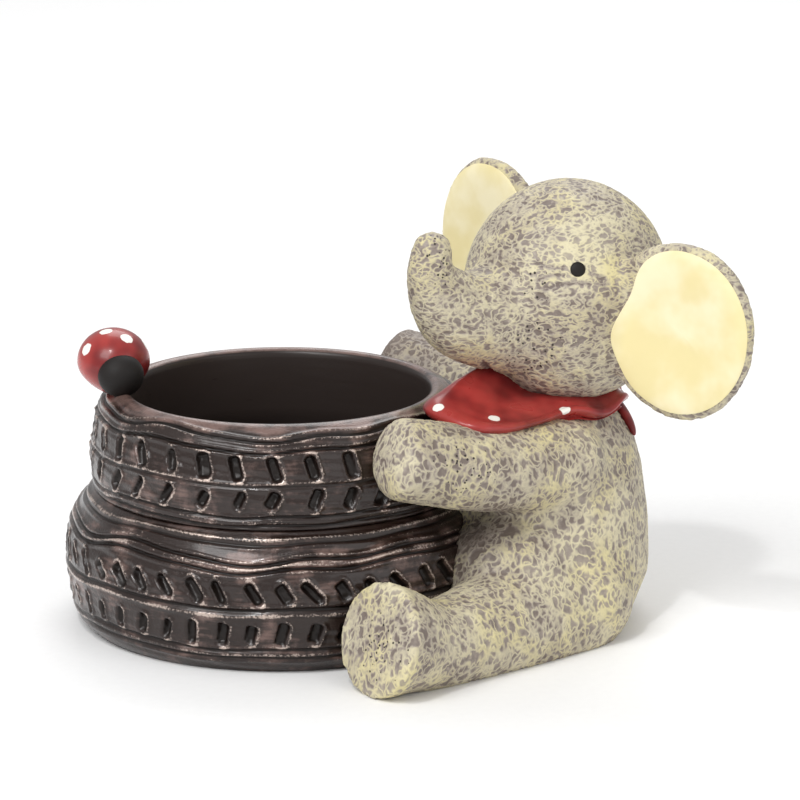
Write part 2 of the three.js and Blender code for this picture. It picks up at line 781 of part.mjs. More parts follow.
addPiece('neckerchief', cutBy(
  neckerchief(), headRoom, trunkRoom, torsoRoom, potRoom, armRoom[left], armRoom[right],
), paintRed);
addPiece('neckerchief_knot', cutBy(knot(), torsoRoom, scarfRoom, headRoom), paintRed);
addPiece('ladybird_shell', cutBy(ladybirdShell(), potRoom), paintRed);
addPiece('ladybird_head', cutBy(ladybirdHead(), potRoom, ladybirdShell(seatGap)), paintBlack);

export default group;
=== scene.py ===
"""Looks of a cast-resin flower pot: an elephant calf sits and hugs a pot of two stacked tyres."""

import math
from contextlib import contextmanager
from typing import NamedTuple

import bpy
import numpy as np
from bpy.props import FloatProperty, FloatVectorProperty, IntProperty, PointerProperty
from mathutils import Matrix, Vector


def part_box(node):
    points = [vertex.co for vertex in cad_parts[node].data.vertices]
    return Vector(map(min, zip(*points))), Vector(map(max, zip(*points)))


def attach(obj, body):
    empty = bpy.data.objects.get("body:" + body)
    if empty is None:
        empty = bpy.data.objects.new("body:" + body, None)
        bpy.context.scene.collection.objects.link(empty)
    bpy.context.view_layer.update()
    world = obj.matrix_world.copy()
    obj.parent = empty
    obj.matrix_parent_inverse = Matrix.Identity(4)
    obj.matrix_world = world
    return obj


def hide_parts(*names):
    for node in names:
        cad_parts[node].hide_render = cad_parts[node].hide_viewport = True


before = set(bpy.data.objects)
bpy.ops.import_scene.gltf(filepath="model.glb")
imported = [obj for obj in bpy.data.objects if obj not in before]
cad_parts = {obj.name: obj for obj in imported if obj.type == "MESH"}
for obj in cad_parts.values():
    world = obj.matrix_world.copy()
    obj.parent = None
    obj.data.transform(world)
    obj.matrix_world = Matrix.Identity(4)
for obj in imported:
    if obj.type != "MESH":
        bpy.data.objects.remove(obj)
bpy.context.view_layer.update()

bl_info = {
    "name": "Elephant flower pot",
    "version": (1, 0, 0),
    "blender": (4, 5, 0),
    "location": "View3D > Sidebar > Flower pot",
    "description": "Models and paints a resin flower pot with an elephant calf, round its CAD frame",
    "category": "Object",
}

MM = 0.001
# Points that lie closer than this are merged
MERGE = 0.01 * MM
# Sections along a limb
LIMB_STATIONS = 24
LEFT = -1
RIGHT = 1
SIDE_NAMES = {LEFT: "left", RIGHT: "right"}

POT_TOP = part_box("upper_tyre")[1].z
POT_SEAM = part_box("lower_tyre")[1].z
UPPER_TYRE_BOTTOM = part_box("upper_tyre")[0].z
HEAD_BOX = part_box("head")
HEAD_CENTRE = (HEAD_BOX[0] + HEAD_BOX[1]) / 2


def linear(hex_colour):
    """An sRGB hex colour as linear red, green, blue and alpha."""
    channels = [int(hex_colour[start:start + 2], 16) / 255 for start in (1, 3, 5)]
    return (*(c / 12.92 if c <= 0.04045 else ((c + 0.055) / 1.055) ** 2.4 for c in channels), 1.0)


def length(name, description, default):
    """A property for a size, given in millimetres."""
    return FloatProperty(name=name, description=description, default=default * MM, unit="LENGTH")


def turn(name, description, default):
    """A property for an angle, given in degrees."""
    return FloatProperty(
        name=name, description=description, default=math.radians(default), subtype="ANGLE",
    )


def place(name, description, default):
    """A property for a point, given in millimetres."""
    return FloatVectorProperty(
        name=name, description=description, default=[value * MM for value in default],
        subtype="TRANSLATION", unit="LENGTH",
    )


def count(name, description, default):
    """A property for a number of things."""
    return IntProperty(name=name, description=description, default=default, min=1)


def colour(name, description, default):
    """A property for a paint colour, given as sRGB hex."""
    return FloatVectorProperty(
        name=name, description=description, default=linear(default), size=4, min=0, max=1,
        subtype="COLOR",
    )


class TyreSizes(bpy.types.PropertyGroup):
    """Sizes of the pot's two tyres"""

    cavity_radius: length("Cavity radius", "Inside of the pot", 33)
    floor: length("Floor", "Thickness of the pot's floor", 6)
    base_radius: length("Base radius", "Lower tyre where it stands", 43.4)
    lower_radius: length("Lower tyre radius", "Lower tyre at its fullest", 47.7)
    seam_radius: length("Seam radius", "Waist between the tyres", 41.4)
    upper_radius: length("Upper tyre radius", "Upper tyre at its fullest", 41.9)
    rim_width: length("Rim width", "Slope of the rim round the opening", 4.6)
    pit_depth: length("Pit depth", "How deep the tread's pits go", 1.35)
    lip_height: length("Lip height", "Raised edge that the tool left beside a pit", 0.36)
    grain: length("Grain", "Spacing of the modelled mesh on the tread", 0.33)
    steps: count("Steps", "Steps of the spun mesh round the pot", 720)


class CalfSizes(bpy.types.PropertyGroup):
    """Sizes of the calf's body, given for its right side where there are two"""

    torso_place: place("Torso", "Middle of the torso on the ground", (57.5, 0, 0))
    torso_half_width: length("Torso half width", "Torso from its middle to its side", 29)
    torso_half_depth: length("Torso half depth", "Torso from its middle to its back", 24.6)
    torso_height: length("Torso height", "Torso up to the neck", 53)
    haunch: place("Haunch", "Middle of the haunch", (50.5, 20.5, 14.5))
    haunch_radius: length("Haunch radius", "Roundness of the haunch", 15.4)
    hip: place("Hip", "Start of the leg", (61, 17.8, 6.6))
    hip_radius: length("Hip radius", "Leg at the hip", 14.3)
    seat: place("Seat", "Round of the seat beside the hip", (65, 17, 9))
    seat_radius: length("Seat radius", "Roundness of the seat", 13)
    ankle: place("Ankle", "Narrow part of the leg", (34.6, 48.2, 7.6))
    ankle_radius: length("Ankle radius", "Leg at the ankle", 9.8)
    foot: place("Foot", "End of the leg", (21.8, 58.8, 12.0))
    foot_radius: length("Foot radius", "Round sole of the foot", 12.9)
    shoulder: place("Shoulder", "Start of the arm", (61, 17, 39))
    shoulder_radius: length("Shoulder radius", "Arm at the shoulder", 10.5)
    elbow: place("Elbow", "Bend of the arm", (43, 32, 41.8))
    arm_radius: length("Arm radius", "Arm at the elbow", 9.3)
    hand: place("Hand", "End of the arm", (26.3, 41.6, 46.5))
    hand_radius: length("Hand radius", "Blunt end of the arm", 9.1)
    grain: length("Grain", "Spacing of the mesh while the forms are melted together", 1.1)
    rounds: count("Rounds", "Rounds of smoothing over the joined forms", 12)


class HeadSizes(bpy.types.PropertyGroup):
    """Sizes of the calf's head, trunk and ears"""

    half_length: length("Half length", "Head from its middle to the face", 22.9)
    half_width: length("Half width", "Head from its middle to the side", 22.5)
    half_height: length("Half height", "Head from its middle to the crown", 24)
    turned: turn("Turn", "Turn of the head to the calf's left", 38)
    lean: turn("Lean", "Lean of the head to the calf's left", 7.5)
    trunk_out: length("Trunk reach", "Trunk's bend, before the face", 16.1)
    trunk_root_radius: length("Trunk root radius", "Trunk where it leaves the face", 13)
    trunk_tip_radius: length("Trunk tip radius", "Trunk at its tip", 4.5)
    trunk_tip_rise: length("Trunk tip rise", "Tip above the head's middle", 13.6)
    left_ear_stand_out: length("Left ear stand out", "Left ear's middle beyond the head's side", 12.4)
    right_ear_stand_out: length("Right ear stand out", "Right ear's middle beyond the head's side", 8.4)
    ear_set_back: length("Ear set back", "Middle of an ear behind the head's middle", 3.6)
    left_ear_sweep: turn("Left ear sweep", "Left ear turned back from square to the head", 18)
    right_ear_sweep: turn("Right ear sweep", "Right ear turned back from square to the head", 1)
    ear_tilt: turn("Ear tilt", "Ear leaning outwards at its top", 7)
    ear_half_width: length("Ear half width", "Ear from its middle to its edge", 17.0)
    ear_root_width: length("Ear root width", "Ear from its middle into the head", 20)
    ear_half_height: length("Ear half height", "Ear from its middle to its top", 19.9)
    ear_thickness: length("Ear thickness", "Ear at its rim", 6.4)
    ear_dish: length("Ear dish", "Hollow of the ear's front", 2.4)
    eye_radius: length("Eye radius", "Round bead of an eye", 1.65)
    left_eye_side: turn("Left eye", "Angle of the left eye from the trunk", 54)
    right_eye_side: turn("Right eye", "Angle of the right eye from the trunk", 74)
    eye_rise: turn("Eye rise", "Angle of the eyes above the head's middle", 28)
    lining_film: length("Lining film", "Thickness of the cream paint in the ears", 0.26)
    grain: length("Grain", "Spacing of the mesh while the forms are melted together", 0.9)
    rounds: count("Rounds", "Rounds of smoothing over the joined forms", 12)


class ScarfSizes(bpy.types.PropertyGroup):
    """Sizes of the neckerchief"""

    neck: place("Neck", "Middle of the neck on the ground", (61, -2, 0))
    reach: length("Reach", "Cape from the middle of the neck to its edge", 16.2)
    throat: length("Throat", "Inner edge of the cape", 7)
    bib_length: length("Bib length", "Bib beyond the cape", 23)
    bib_half_angle: turn("Bib half angle", "Half of the bib's spread", 26)
    bib_turn: turn("Bib turn", "Bib's middle to the left of the trunk", 12)
    edge_height: length("Edge height", "Lower edge of the cape", 50)
    bib_height: length("Bib height", "Lower edge of the bib", 52.2)
    crown_height: length("Crown height", "Upper edge of the cape below the trunk", 62)
    crown_drop: length("Crown drop", "How much lower the upper edge lies elsewhere", 8)
    thickness: length("Thickness", "Thickness of the modelled cloth", 3.2)
    dot_radius: length("Dot radius", "White dots on the cloth", 1.3)
    knot: place("Knot", "Knot at the nape", (71.8, 2.4, 50.4))
    knot_radius: length("Knot radius", "Roundness of the knot", 4.4)
    tail_length: length("Tail length", "Ends of the cloth below the knot", 9.4)
    tail_width: length("Tail width", "Width of the ends", 5.5)
    tail_thickness: length("Tail thickness", "Thickness of the ends", 2.8)


class LadybirdSizes(bpy.types.PropertyGroup):
    """Sizes of the ladybird on the rim"""

    middle: place("Middle", "Middle of its round shell", (-36.7, 0, 57.7))
    half_length: length("Half length", "Shell from its middle to its front", 8.6)
    half_width: length("Half width", "Shell from its middle to its side", 8)
    half_height: length("Half height", "Shell from its middle to its top", 7.4)
    heading: turn("Heading", "Way it faces, from the calf's side of the pot", 287)
    head_radius: length("Head radius", "Round black head", 4.8)
    head_lead: length("Head lead", "Head's middle before the shell's middle", 7)
    head_drop: length("Head drop", "Head's middle below the shell's middle", 1.6)
    dot_radius: length("Dot radius", "White dots on the shell", 1.45)


class PaintColours(bpy.types.PropertyGroup):
    """Paints on the casting"""

    # Darker brown for the tread's hollows, partly a wash and partly painted shade; the black enamel's
    # faint bloom uses it too
    tyre_shade_and_bloom: colour("Tyre deep", "Black-brown wash in the tread's hollows", "#1c1512")
    tyre_inside: colour("Inside", "Thin brown-black coat inside the pot", "#362e2b")
    tyre_body: colour("Tyre body", "Black-brown coat on the tyres", "#241611")
    tyre_brushed: colour("Tyre brushed", "Grey-mauve dry brushing on the tyres", "#775f58")
    tyre_edge: colour("Tyre edge", "Pale metal dry brushing on raised edges", "#cbb9ae")
    calf_grey: colour("Calf grey", "Mauve-grey coat in the hollows of the skin", "#988d84")
    # Darker grey in the skin's deepest hollows, and painted shade where daubs take cream away
    calf_wash_and_shade: colour("Calf deep", "Darker wash in the deepest hollows", "#766a62")
    calf_pore: colour("Pores", "Dark wash left in the finest pores of the skin", "#2b231f")
    calf_cream: colour("Calf cream", "Cream dry brushing on the skin", "#d8cfae")
    calf_yellow: colour("Calf yellow", "Warmer cream on the face and sides", "#dcd19f")
    ear_cream: colour("Ear cream", "Cream paint in the ears", "#ebdda6")
    ear_pale: colour("Ear pale", "Paler cream where the ear is rubbed", "#f6ecc6")
    red: colour("Red", "Red paint", "#a83935")
    red_dark: colour("Red shade", "Red paint where it is thin", "#6c181a")
    white: colour("White", "White dots", "#f4f1ea")
    black: colour("Black", "Black paint", "#0d0b0b")


class StageSizes(bpy.types.PropertyGroup):
    """Camera, floor and lights"""

    camera: place("Camera", "Place of the camera", (26.5, -857.5, 267.4))
    camera_tilt: turn("Camera tilt", "Camera's turn up from looking straight down", 75.7)
    lens: FloatProperty(
        name="Lens", description="Focal length in millimetres", default=180, unit="CAMERA",
    )
    floor_size: length("Floor size", "Side of the square floor", 8000)


# Helpers for modelling


def clear_selection():
    """Leaves nothing selected, in object mode."""
    if bpy.context.mode != "OBJECT":
        bpy.ops.object.mode_set(mode="OBJECT")
    bpy.ops.object.select_all(action="DESELECT")


def take(piece):
    """Makes a piece the active one, and the only one that is selected."""
    clear_selection()
    bpy.context.view_layer.objects.active = piece
    piece.select_set(True)


@contextmanager
def editing(piece):
    """Edit mode on a piece with all of it selected, and object mode again at the end."""
    take(piece)
    bpy.ops.object.mode_set(mode="EDIT")
    bpy.ops.mesh.select_all(action="SELECT")
    yield
    bpy.ops.object.mode_set(mode="OBJECT")


def settle():
    """Applies the active object's place, turn and scale to its mesh and returns it."""
    bpy.ops.object.transform_apply(location=True, rotation=True, scale=True)
    return bpy.context.object


def vectors(rows, name):
    """The named vector of each row of a mesh, as an array."""
    flat = np.empty(len(rows) * 3, np.float32)
    rows.foreach_get(name, flat)
    return flat.reshape(-1, 3).astype(float)


def positions(piece):
    """The piece's vertices as an array of points."""
    return vectors(piece.data.vertices, "co")


def directions(piece):
    """The piece's vertex normals as an array."""
    return vectors(piece.data.vertex_normals, "vector")


def reshape(piece, points):
    """Moves the piece's vertices to the given points."""
    piece.data.vertices.foreach_set("co", points.astype(np.float32).ravel())
    piece.data.update()


def keep(piece, **fields):
    """Keeps a number for each vertex under each name, for the piece's paint to read."""
    for name, values in fields.items():
        piece.data.attributes.new(name, "FLOAT", "POINT").data.foreach_set("value", values)


def moved(points, matrix):
    """Points carried by a matrix."""
    turned = np.array(matrix.to_3x3())
    return points @ turned.T + np.array(matrix.translation)


def through(points, number):
    """Points of a smooth curve that passes through the given ones."""
    keys = np.array([points[0], *points, points[-1]], float)
    curve = []
    for position in np.linspace(0, len(points) - 1, number):
        span = min(int(position), len(points) - 2)
        share = position - span
        before, start, end, after = keys[span:span + 4]
        curve.append(0.5 * (
            2 * start + (end - before) * share
            + (2 * before - 5 * start + 4 * end - after) * share ** 2
            + (3 * start - before - 3 * end + after) * share ** 3
        ))
    return np.array(curve)


def evenly(points, spacing):
    """Points along a line, about one spacing apart."""
    walked = np.concatenate([[0], np.cumsum(np.linalg.norm(np.diff(points, axis=0), axis=1))])
    stops = np.linspace(0, walked[-1], max(2, round(walked[-1] / spacing) + 1))
    return np.stack([np.interp(stops, walked, values) for values in points.T], axis=1)


def smoothstep(low, high, value):
    """Rises smoothly from 0 to 1 between two values."""
    share = np.clip((value - low) / (high - low), 0, 1)
    return share * share * (3 - 2 * share)


def ball(centre=(0, 0, 0), radii=(1, 1, 1), rotation=(0, 0, 0), segments=40):
    """An ellipsoid, as a start for a rounder form."""
    clear_selection()
    bpy.ops.mesh.primitive_uv_sphere_add(
        segments=segments, ring_count=segments // 2, radius=1,
        location=centre, rotation=rotation, scale=radii,
    )
    return settle()


def tube(path, radii, blunt):
    """A limb: round sections along a smooth path, and a dome on its far end, flattened to a share."""
    stations = through([(*point, radius) for point, radius in zip(path, radii)], LIMB_STATIONS)
    clear_selection()
    bpy.ops.curve.primitive_nurbs_path_add(location=(0, 0, 0))
    limb = bpy.context.object
    spline = limb.data.splines[0]
    spline.type = "POLY"
    spline.points.add(len(stations) - len(spline.points))
    for point, (x, y, z, radius) in zip(spline.points, stations):
        point.co = (x, y, z, 1)
        point.radius = radius
    limb.data.bevel_depth = 1
    limb.data.bevel_resolution = 8
    limb.data.use_fill_caps = True
    bpy.ops.object.convert(target="MESH")
    end = stations[-1]
    heading = Vector(end[:3] - stations[-2][:3])
    turned = heading.to_track_quat("Z", "Y").to_euler()
    dome = ball(end[:3], (end[3], end[3], end[3] * blunt), turned)
    return [limb, dome]


def apply_modifier(piece, kind, **settings):
    """Adds a modifier, sets it and applies it."""
    take(piece)
    bpy.ops.object.modifier_add(type=kind)
    modifier = piece.modifiers[-1]
    for name, value in settings.items():
        setattr(modifier, name, value)
    bpy.ops.object.modifier_apply(modifier=modifier.name)


def joined(forms):
    """Joins forms into one object."""
    clear_selection()
    for form in forms:
        form.select_set(True)
    bpy.context.view_layer.objects.active = forms[0]
    bpy.ops.object.join()
    return bpy.context.object


def melted(forms, grain, rounds):
    """Melts overlapping forms into one skin with soft fillets, as a modeller smooths clay."""
    skin = joined(forms)
    apply_modifier(skin, "REMESH", mode="VOXEL", voxel_size=grain)
    apply_modifier(skin, "SMOOTH", factor=0.5, iterations=rounds)
    apply_modifier(skin, "SUBSURF", levels=1, render_levels=1)
    return skin


def hand_over(piece, name, material, slot, *nodes):
    """Names a finished piece, paints it, and puts it in place of its CAD nodes."""
    take(piece)
    bpy.ops.object.shade_smooth()
    piece.name = name
    piece.data.name = name
    piece.data.materials.clear()
    piece.data.materials.append(material)
    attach(piece, "root")
    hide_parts(*nodes)


# Materials

# Kinds of node, and the setting that eases both ends of a range
NOISE = "ShaderNodeTexNoise"
MATH = "ShaderNodeMath"
VECTOR_MATH = "ShaderNodeVectorMath"
RANGE = "ShaderNodeMapRange"
ATTRIBUTE = "ShaderNodeAttribute"
BUMP = "ShaderNodeBump"
MIX = "ShaderNodeMix"
SOFT = {"interpolation_type": "SMOOTHSTEP"}

# Sockets of a colour Mix node, whose names are shared with its other data types
MIX_A = 6
MIX_B = 7
MIX_RESULT = 2


def add(tree, kind, inputs=None, out=0, **settings):
    """Adds a node with its settings, links inputs that are sockets, and returns one of its outputs."""
    made = tree.nodes.new(kind)
    for name, value in settings.items():
        setattr(made, name, value)
    for name, value in (inputs or {}).items():
        if isinstance(value, bpy.types.NodeSocket):
            tree.links.new(value, made.inputs[name])
        else:
            made.inputs[name].default_value = value
    return made.outputs[out] if made.outputs else None


def new_material(name):
    """An empty material, its node tree and the socket of its Object coordinates."""
    material = bpy.data.materials.new(name)
    material.use_nodes = True
    tree = material.node_tree
    tree.nodes.clear()
    return material, tree, add(tree, "ShaderNodeTexCoord", out="Object")


def close_material(tree, base, coats, shader):
    """Ends a material: coats of paint over a base colour, each by its share, under one shader."""
    for share, paint in coats:
        base = add(tree, MIX, {0: share, MIX_A: base, MIX_B: paint}, MIX_RESULT, data_type="RGBA")
    surface = add(tree, "ShaderNodeBsdfPrincipled", {"Base Color": base, **shader})
    add(tree, "ShaderNodeOutputMaterial", {"Surface": surface})


def tyre_paint(colours):
    """Cast resin under a black-brown coat, dry-brushed with grey and pale metal paint.

    The brush leaves streaks round the tyres and pale patches, catches every raised edge in specks, and
    misses the hollows, so edges glint and pits stay dark. A darker brown in the hollows is partly a
    wash and partly painted shade, and the extra grey on the rim's top and the lower tyre's shoulder is
    partly a painted highlight."""
    material, tree, point = new_material("dry_brushed_resin")
    relief, rubbed, inside = (
        add(tree, ATTRIBUTE, out="Fac", attribute_name=name) for name in ("relief", "rubbed", "inside")
    )
    streak_point = add(tree, "ShaderNodeMapping", {
        "Vector": point, "Scale": (1 / (12 * MM), 1 / (12 * MM), 1 / (1.0 * MM)),
    })
    streaks = add(tree, NOISE, {"Vector": streak_point, "Scale": 1, "Detail": 3, "Roughness": 0.55})
    patches = add(tree, NOISE, {"Vector": point, "Scale": 1 / (7 * MM), "Detail": 5, "Roughness": 0.6})
    specks = add(tree, NOISE, {"Vector": point, "Scale": 1 / (0.5 * MM), "Detail": 3, "Roughness": 0.6})
    brushed = add(tree, MATH, {0: streaks, 1: 0.5, 2: patches}, operation="MULTIPLY_ADD")
    # More grey on the rim's top and the lower tyre's shoulder: partly rubbing, partly a painted
    # highlight
    brushed = add(tree, MATH, {0: brushed, 1: rubbed}, operation="ADD")
    brushed = add(tree, RANGE, {"Value": brushed, "From Min": 0.7, "From Max": 1.02}, **SOFT)
    raised = add(tree, MATH, {0: specks, 1: 0.75, 2: relief}, operation="MULTIPLY_ADD")
    raised = add(tree, MATH, {0: patches, 1: 0.7, 2: raised}, operation="MULTIPLY_ADD")
    raised = add(tree, RANGE, {"Value": raised, "From Min": 0.96, "From Max": 1.22}, **SOFT)
    # Painted shade, partly a wash: the tread's hollows get a darker brown
    hollow = add(tree, RANGE, {"Value": relief, "From Min": -0.1, "From Max": -0.45}, **SOFT)
    metal = add(tree, RANGE, {"Value": raised, "To Min": 0.1, "To Max": 0.75})
    gloss = add(tree, RANGE, {"Value": streaks, "To Min": 0.2, "To Max": 0.46})
    varnish = add(tree, RANGE, {"Value": hollow, "To Min": 0.5, "To Max": 0.0})
    bumpy = add(tree, RANGE, {"Value": hollow, "To Min": 0.8, "To Max": 0.1})
    ripple = add(tree, MATH, {0: specks, 1: 0.6, 2: patches}, operation="MULTIPLY_ADD")
    bump = add(tree, BUMP, {"Strength": bumpy, "Distance": 0.25 * MM, "Height": ripple})
    coats = (
        (brushed, colours.tyre_brushed),
        (raised, colours.tyre_edge),
        (hollow, colours.tyre_shade_and_bloom),
        (inside, colours.tyre_inside),
    )
    close_material(tree, colours.tyre_body, coats, {
        "Metallic": metal, "Roughness": gloss, "Normal": bump,
        "Specular IOR Level": 0.35, "Coat Weight": varnish, "Coat Roughness": 0.12,
    })
    return material


def skin_height(tree, point, stretch):
    """Stippled skin's height at a point of any node tree, about 0 in a hollow and 1 on a ridge.

    Soft ridges wander in a net round hollows 1 to 2 mm across. A stretch above 1 makes them flatter."""
    drawn = add(tree, VECTOR_MATH, {0: point, 1: stretch}, operation="MULTIPLY")
    ridges = []
    for size, shift in ((1.9 * MM, 0.0), (2.6 * MM, 0.37)):
        beside = add(tree, VECTOR_MATH, {0: drawn, 1: (shift, shift, shift)}, operation="ADD")
        field = add(tree, NOISE, {
            "Vector": beside, "Scale": 1 / size, "Detail": 1.4, "Roughness": 0.45,
        })
        field = add(tree, MATH, {0: field, 1: 0.5}, operation="SUBTRACT")
        field = add(tree, MATH, {0: field}, operation="ABSOLUTE")
        ridges.append(add(tree, RANGE, {"Value": field, "From Min": 0.105, "From Max": 0.0}, **SOFT))
    net = add(tree, MATH, {0: ridges[0], 1: ridges[1], 2: 0.3}, operation="SMOOTH_MAX")
    fine = add(tree, NOISE, {"Vector": drawn, "Scale": 1 / (0.9 * MM), "Detail": 2, "Roughness": 0.5})
    broad = add(tree, NOISE, {"Vector": point, "Scale": 1 / (6 * MM), "Detail": 3, "Roughness": 0.5})
    height = -0.79
    for field, weight in ((net, 0.68), (fine, 0.4), (broad, 0.95)):
        height = add(tree, MATH, {0: field, 1: weight, 2: height}, operation="MULTIPLY_ADD")
    return height


def calf_paint(name, colours, stretch):
    """Cast resin with a stippled skin, coated mauve-grey and dry-brushed with cream.

    The brush leaves cream on the ridges in a crackled net and grey in the hollows, with a matt finish.
    Here and there fine pores show as dark dots. The kept cream also carries painted shade, which turns
    the skin a deeper grey, and a painted highlight, which turns it more cream."""
    material, tree, point = new_material(name)
    height = skin_height(tree, point, stretch)
    cream_shade_and_highlight, pored = (add(tree, ATTRIBUTE, out="Fac", attribute_name=kept) for kept in ("cream", "pores"))
    loaded = add(tree, MATH, {0: height, 1: cream_shade_and_highlight}, operation="ADD")
    brush = add(tree, RANGE, {"Value": loaded, "From Min": -0.06, "From Max": 0.93}, **SOFT)
    # Darker grey in the deepest hollows and, through the kept cream, painted shade
    deep = add(tree, RANGE, {"Value": loaded, "From Min": 0.12, "From Max": -0.25}, **SOFT)
    warmth = add(tree, NOISE, {"Vector": point, "Scale": 1 / (11 * MM), "Detail": 2, "Roughness": 0.5})
    warmth = add(tree, RANGE, {"Value": warmth, "From Min": 0.42, "From Max": 0.66}, **SOFT)
    cream = add(tree, MIX, {
        0: warmth, MIX_A: colours.calf_cream, MIX_B: colours.calf_yellow,
    }, MIX_RESULT, data_type="RGBA")
    pores = add(tree, "ShaderNodeTexVoronoi", {
        "Vector": point, "Scale": 1 / (1.3 * MM), "Randomness": 1,
    }, "Distance", feature="F1")
    pores = add(tree, MATH, {0: pored, 1: -0.25, 2: pores}, operation="MULTIPLY_ADD")
    pores = add(tree, RANGE, {"Value": pores, "From Min": 0.0, "From Max": -0.07}, **SOFT)
    gloss = add(tree, RANGE, {"Value": brush, "To Min": 0.48, "To Max": 0.62})
    bump = add(tree, BUMP, {"Strength": 0.45, "Distance": 0.3 * MM, "Height": height})
    coats = ((deep, colours.calf_wash_and_shade), (brush, cream), (pores, colours.calf_pore))
    close_material(tree, colours.calf_grey, coats, {"Roughness": gloss, "Normal": bump, "IOR": 1.48})
    return material


def ear_paint(colours):
    """Cream acrylic, brushed thick and smooth inside the ears: satin, with faint pale rubs."""
    material, tree, point = new_material("cream_acrylic")
    rubs = add(tree, NOISE, {"Vector": point, "Scale": 1 / (12 * MM), "Detail": 3, "Roughness": 0.5})
    strokes = add(tree, NOISE, {
        "Vector": point, "Scale": 1 / (1.6 * MM), "Detail": 3, "Roughness": 0.5,
    })
    pale = add(tree, RANGE, {"Value": rubs, "From Min": 0.4, "From Max": 0.68}, **SOFT)
    gloss = add(tree, RANGE, {"Value": strokes, "To Min": 0.4, "To Max": 0.56})
    bump = add(tree, BUMP, {"Strength": 0.2, "Distance": 0.1 * MM, "Height": strokes})
    close_material(tree, colours.ear_cream, [(pale, colours.ear_pale)], {
        "Roughness": gloss, "Normal": bump, "IOR": 1.48,
    })
    return material


def spotted_enamel(name, colours, spots, radius):
    """Red enamel with hand-painted white dots: glossy, a little uneven, and soft at the dots' edges."""
    material, tree, point = new_material(name)
    cloud = add(tree, NOISE, {"Vector": point, "Scale": 1 / (9 * MM), "Detail": 2, "Roughness": 0.5})
    strokes = add(tree, NOISE, {
        "Vector": point, "Scale": 1 / (0.9 * MM), "Detail": 2, "Roughness": 0.5,
    })
    ways = [
        add(tree, VECTOR_MATH, {0: point, 1: spot}, "Value", operation="DISTANCE") for spot in spots
    ]
    nearest = ways[0]
    for away in ways[1:]:
        nearest = add(tree, MATH, {0: nearest, 1: away}, operation="MINIMUM")
    ragged = add(tree, MATH, {0: strokes, 1: 0.35 * radius, 2: nearest}, operation="MULTIPLY_ADD")
    dot = add(tree, RANGE, {
        "Value": ragged, "From Min": 1.24 * radius, "From Max": 1.1 * radius,
    }, **SOFT)
    thin = add(tree, RANGE, {"Value": cloud, "From Min": 0.35, "From Max": 0.7}, **SOFT)
    gloss = add(tree, RANGE, {"Value": cloud, "To Min": 0.2, "To Max": 0.42})
    film = add(tree, MATH, {0: strokes, 1: 0.15, 2: dot}, operation="MULTIPLY_ADD")
    bump = add(tree, BUMP, {"Strength": 0.35, "Distance": 0.12 * MM, "Height": film})
    close_material(tree, colours.red, ((thin, colours.red_dark), (dot, colours.white)), {
        "Roughness": gloss, "Normal": bump, "IOR": 1.52,
        "Specular IOR Level": 0.35, "Coat Weight": 0.2, "Coat Roughness": 0.12,
    })
    return material


def black_enamel(colours):
    """Black enamel, brushed on small round beads: nearly black, satin, with a faint brown bloom."""
    material, tree, point = new_material("black_enamel")
    cloud = add(tree, NOISE, {"Vector": point, "Scale": 1 / (1.8 * MM), "Detail": 4, "Roughness": 0.6})
    gloss = add(tree, RANGE, {"Value": cloud, "To Min": 0.5, "To Max": 0.75})
    bump = add(tree, BUMP, {"Strength": 0.3, "Distance": 0.1 * MM, "Height": cloud})
    close_material(tree, colours.black, [(cloud, colours.tyre_shade_and_bloom)], {
        "Roughness": gloss, "Normal": bump, "IOR": 1.5, "Specular IOR Level": 0.35,
    })
    return material


def floor_paper():
    """White studio paper: matt, with the faintest grain."""
    material, tree, point = new_material("studio_paper")
    grain = add(tree, NOISE, {"Vector": point, "Scale": 1 / (2 * MM), "Detail": 2, "Roughness": 0.5})
    close_material(tree, linear("#f6f6f6"), [(grain, linear("#fbfbfb"))], {
        "Roughness": 0.9, "IOR": 1.3,
    })
    return material


# Tyres


class TreadLine(NamedTuple):
    """A line drawn round a tyre: a groove, or a ridge where its depth is negative"""

    height: float
    depth: float
    width: float
    wave: float


class PitRow(NamedTuple):
    """A row of slanted pits round a tyre; the lean is to the left at the top"""

    height: float
    number: int
    lean: float
    length: float
    width: float


UPPER_LINES = (
    TreadLine(50.3 * MM, 0.8 * MM, 0.32 * MM, 1.0 * MM),
    TreadLine(47.8 * MM, 0.8 * MM, 0.32 * MM, 0.9 * MM),
    TreadLine(41.1 * MM, -0.2 * MM, 0.32 * MM, 0.4 * MM),
    TreadLine(40.4 * MM, 0.45 * MM, 0.32 * MM, 0.4 * MM),
    TreadLine(33.6 * MM, 0.65 * MM, 0.32 * MM, 0.7 * MM),
    TreadLine(31.6 * MM, 0.65 * MM, 0.34 * MM, 0.6 * MM),
)
UPPER_ROWS = (
    PitRow(44.2 * MM, 32, 17, 5.3 * MM, 2.75 * MM),
    PitRow(37.2 * MM, 32, -30, 5.0 * MM, 2.5 * MM),
)
LOWER_LINES = (
    TreadLine(29.2 * MM, -0.24 * MM, 0.34 * MM, 0.3 * MM),
    TreadLine(28.3 * MM, 0.5 * MM, 0.36 * MM, 0.5 * MM),
    TreadLine(25.2 * MM, 0.8 * MM, 0.34 * MM, 1.5 * MM),
    TreadLine(23.4 * MM, 0.75 * MM, 0.34 * MM, 1.4 * MM),
    TreadLine(14.8 * MM, 0.6 * MM, 0.5 * MM, 0.5 * MM),
    TreadLine(13.5 * MM, -0.22 * MM, 0.5 * MM, 0.5 * MM),
    TreadLine(5.6 * MM, 0.5 * MM, 0.4 * MM, 0.6 * MM),
    TreadLine(3.7 * MM, 0.5 * MM, 0.38 * MM, 0.5 * MM),
)
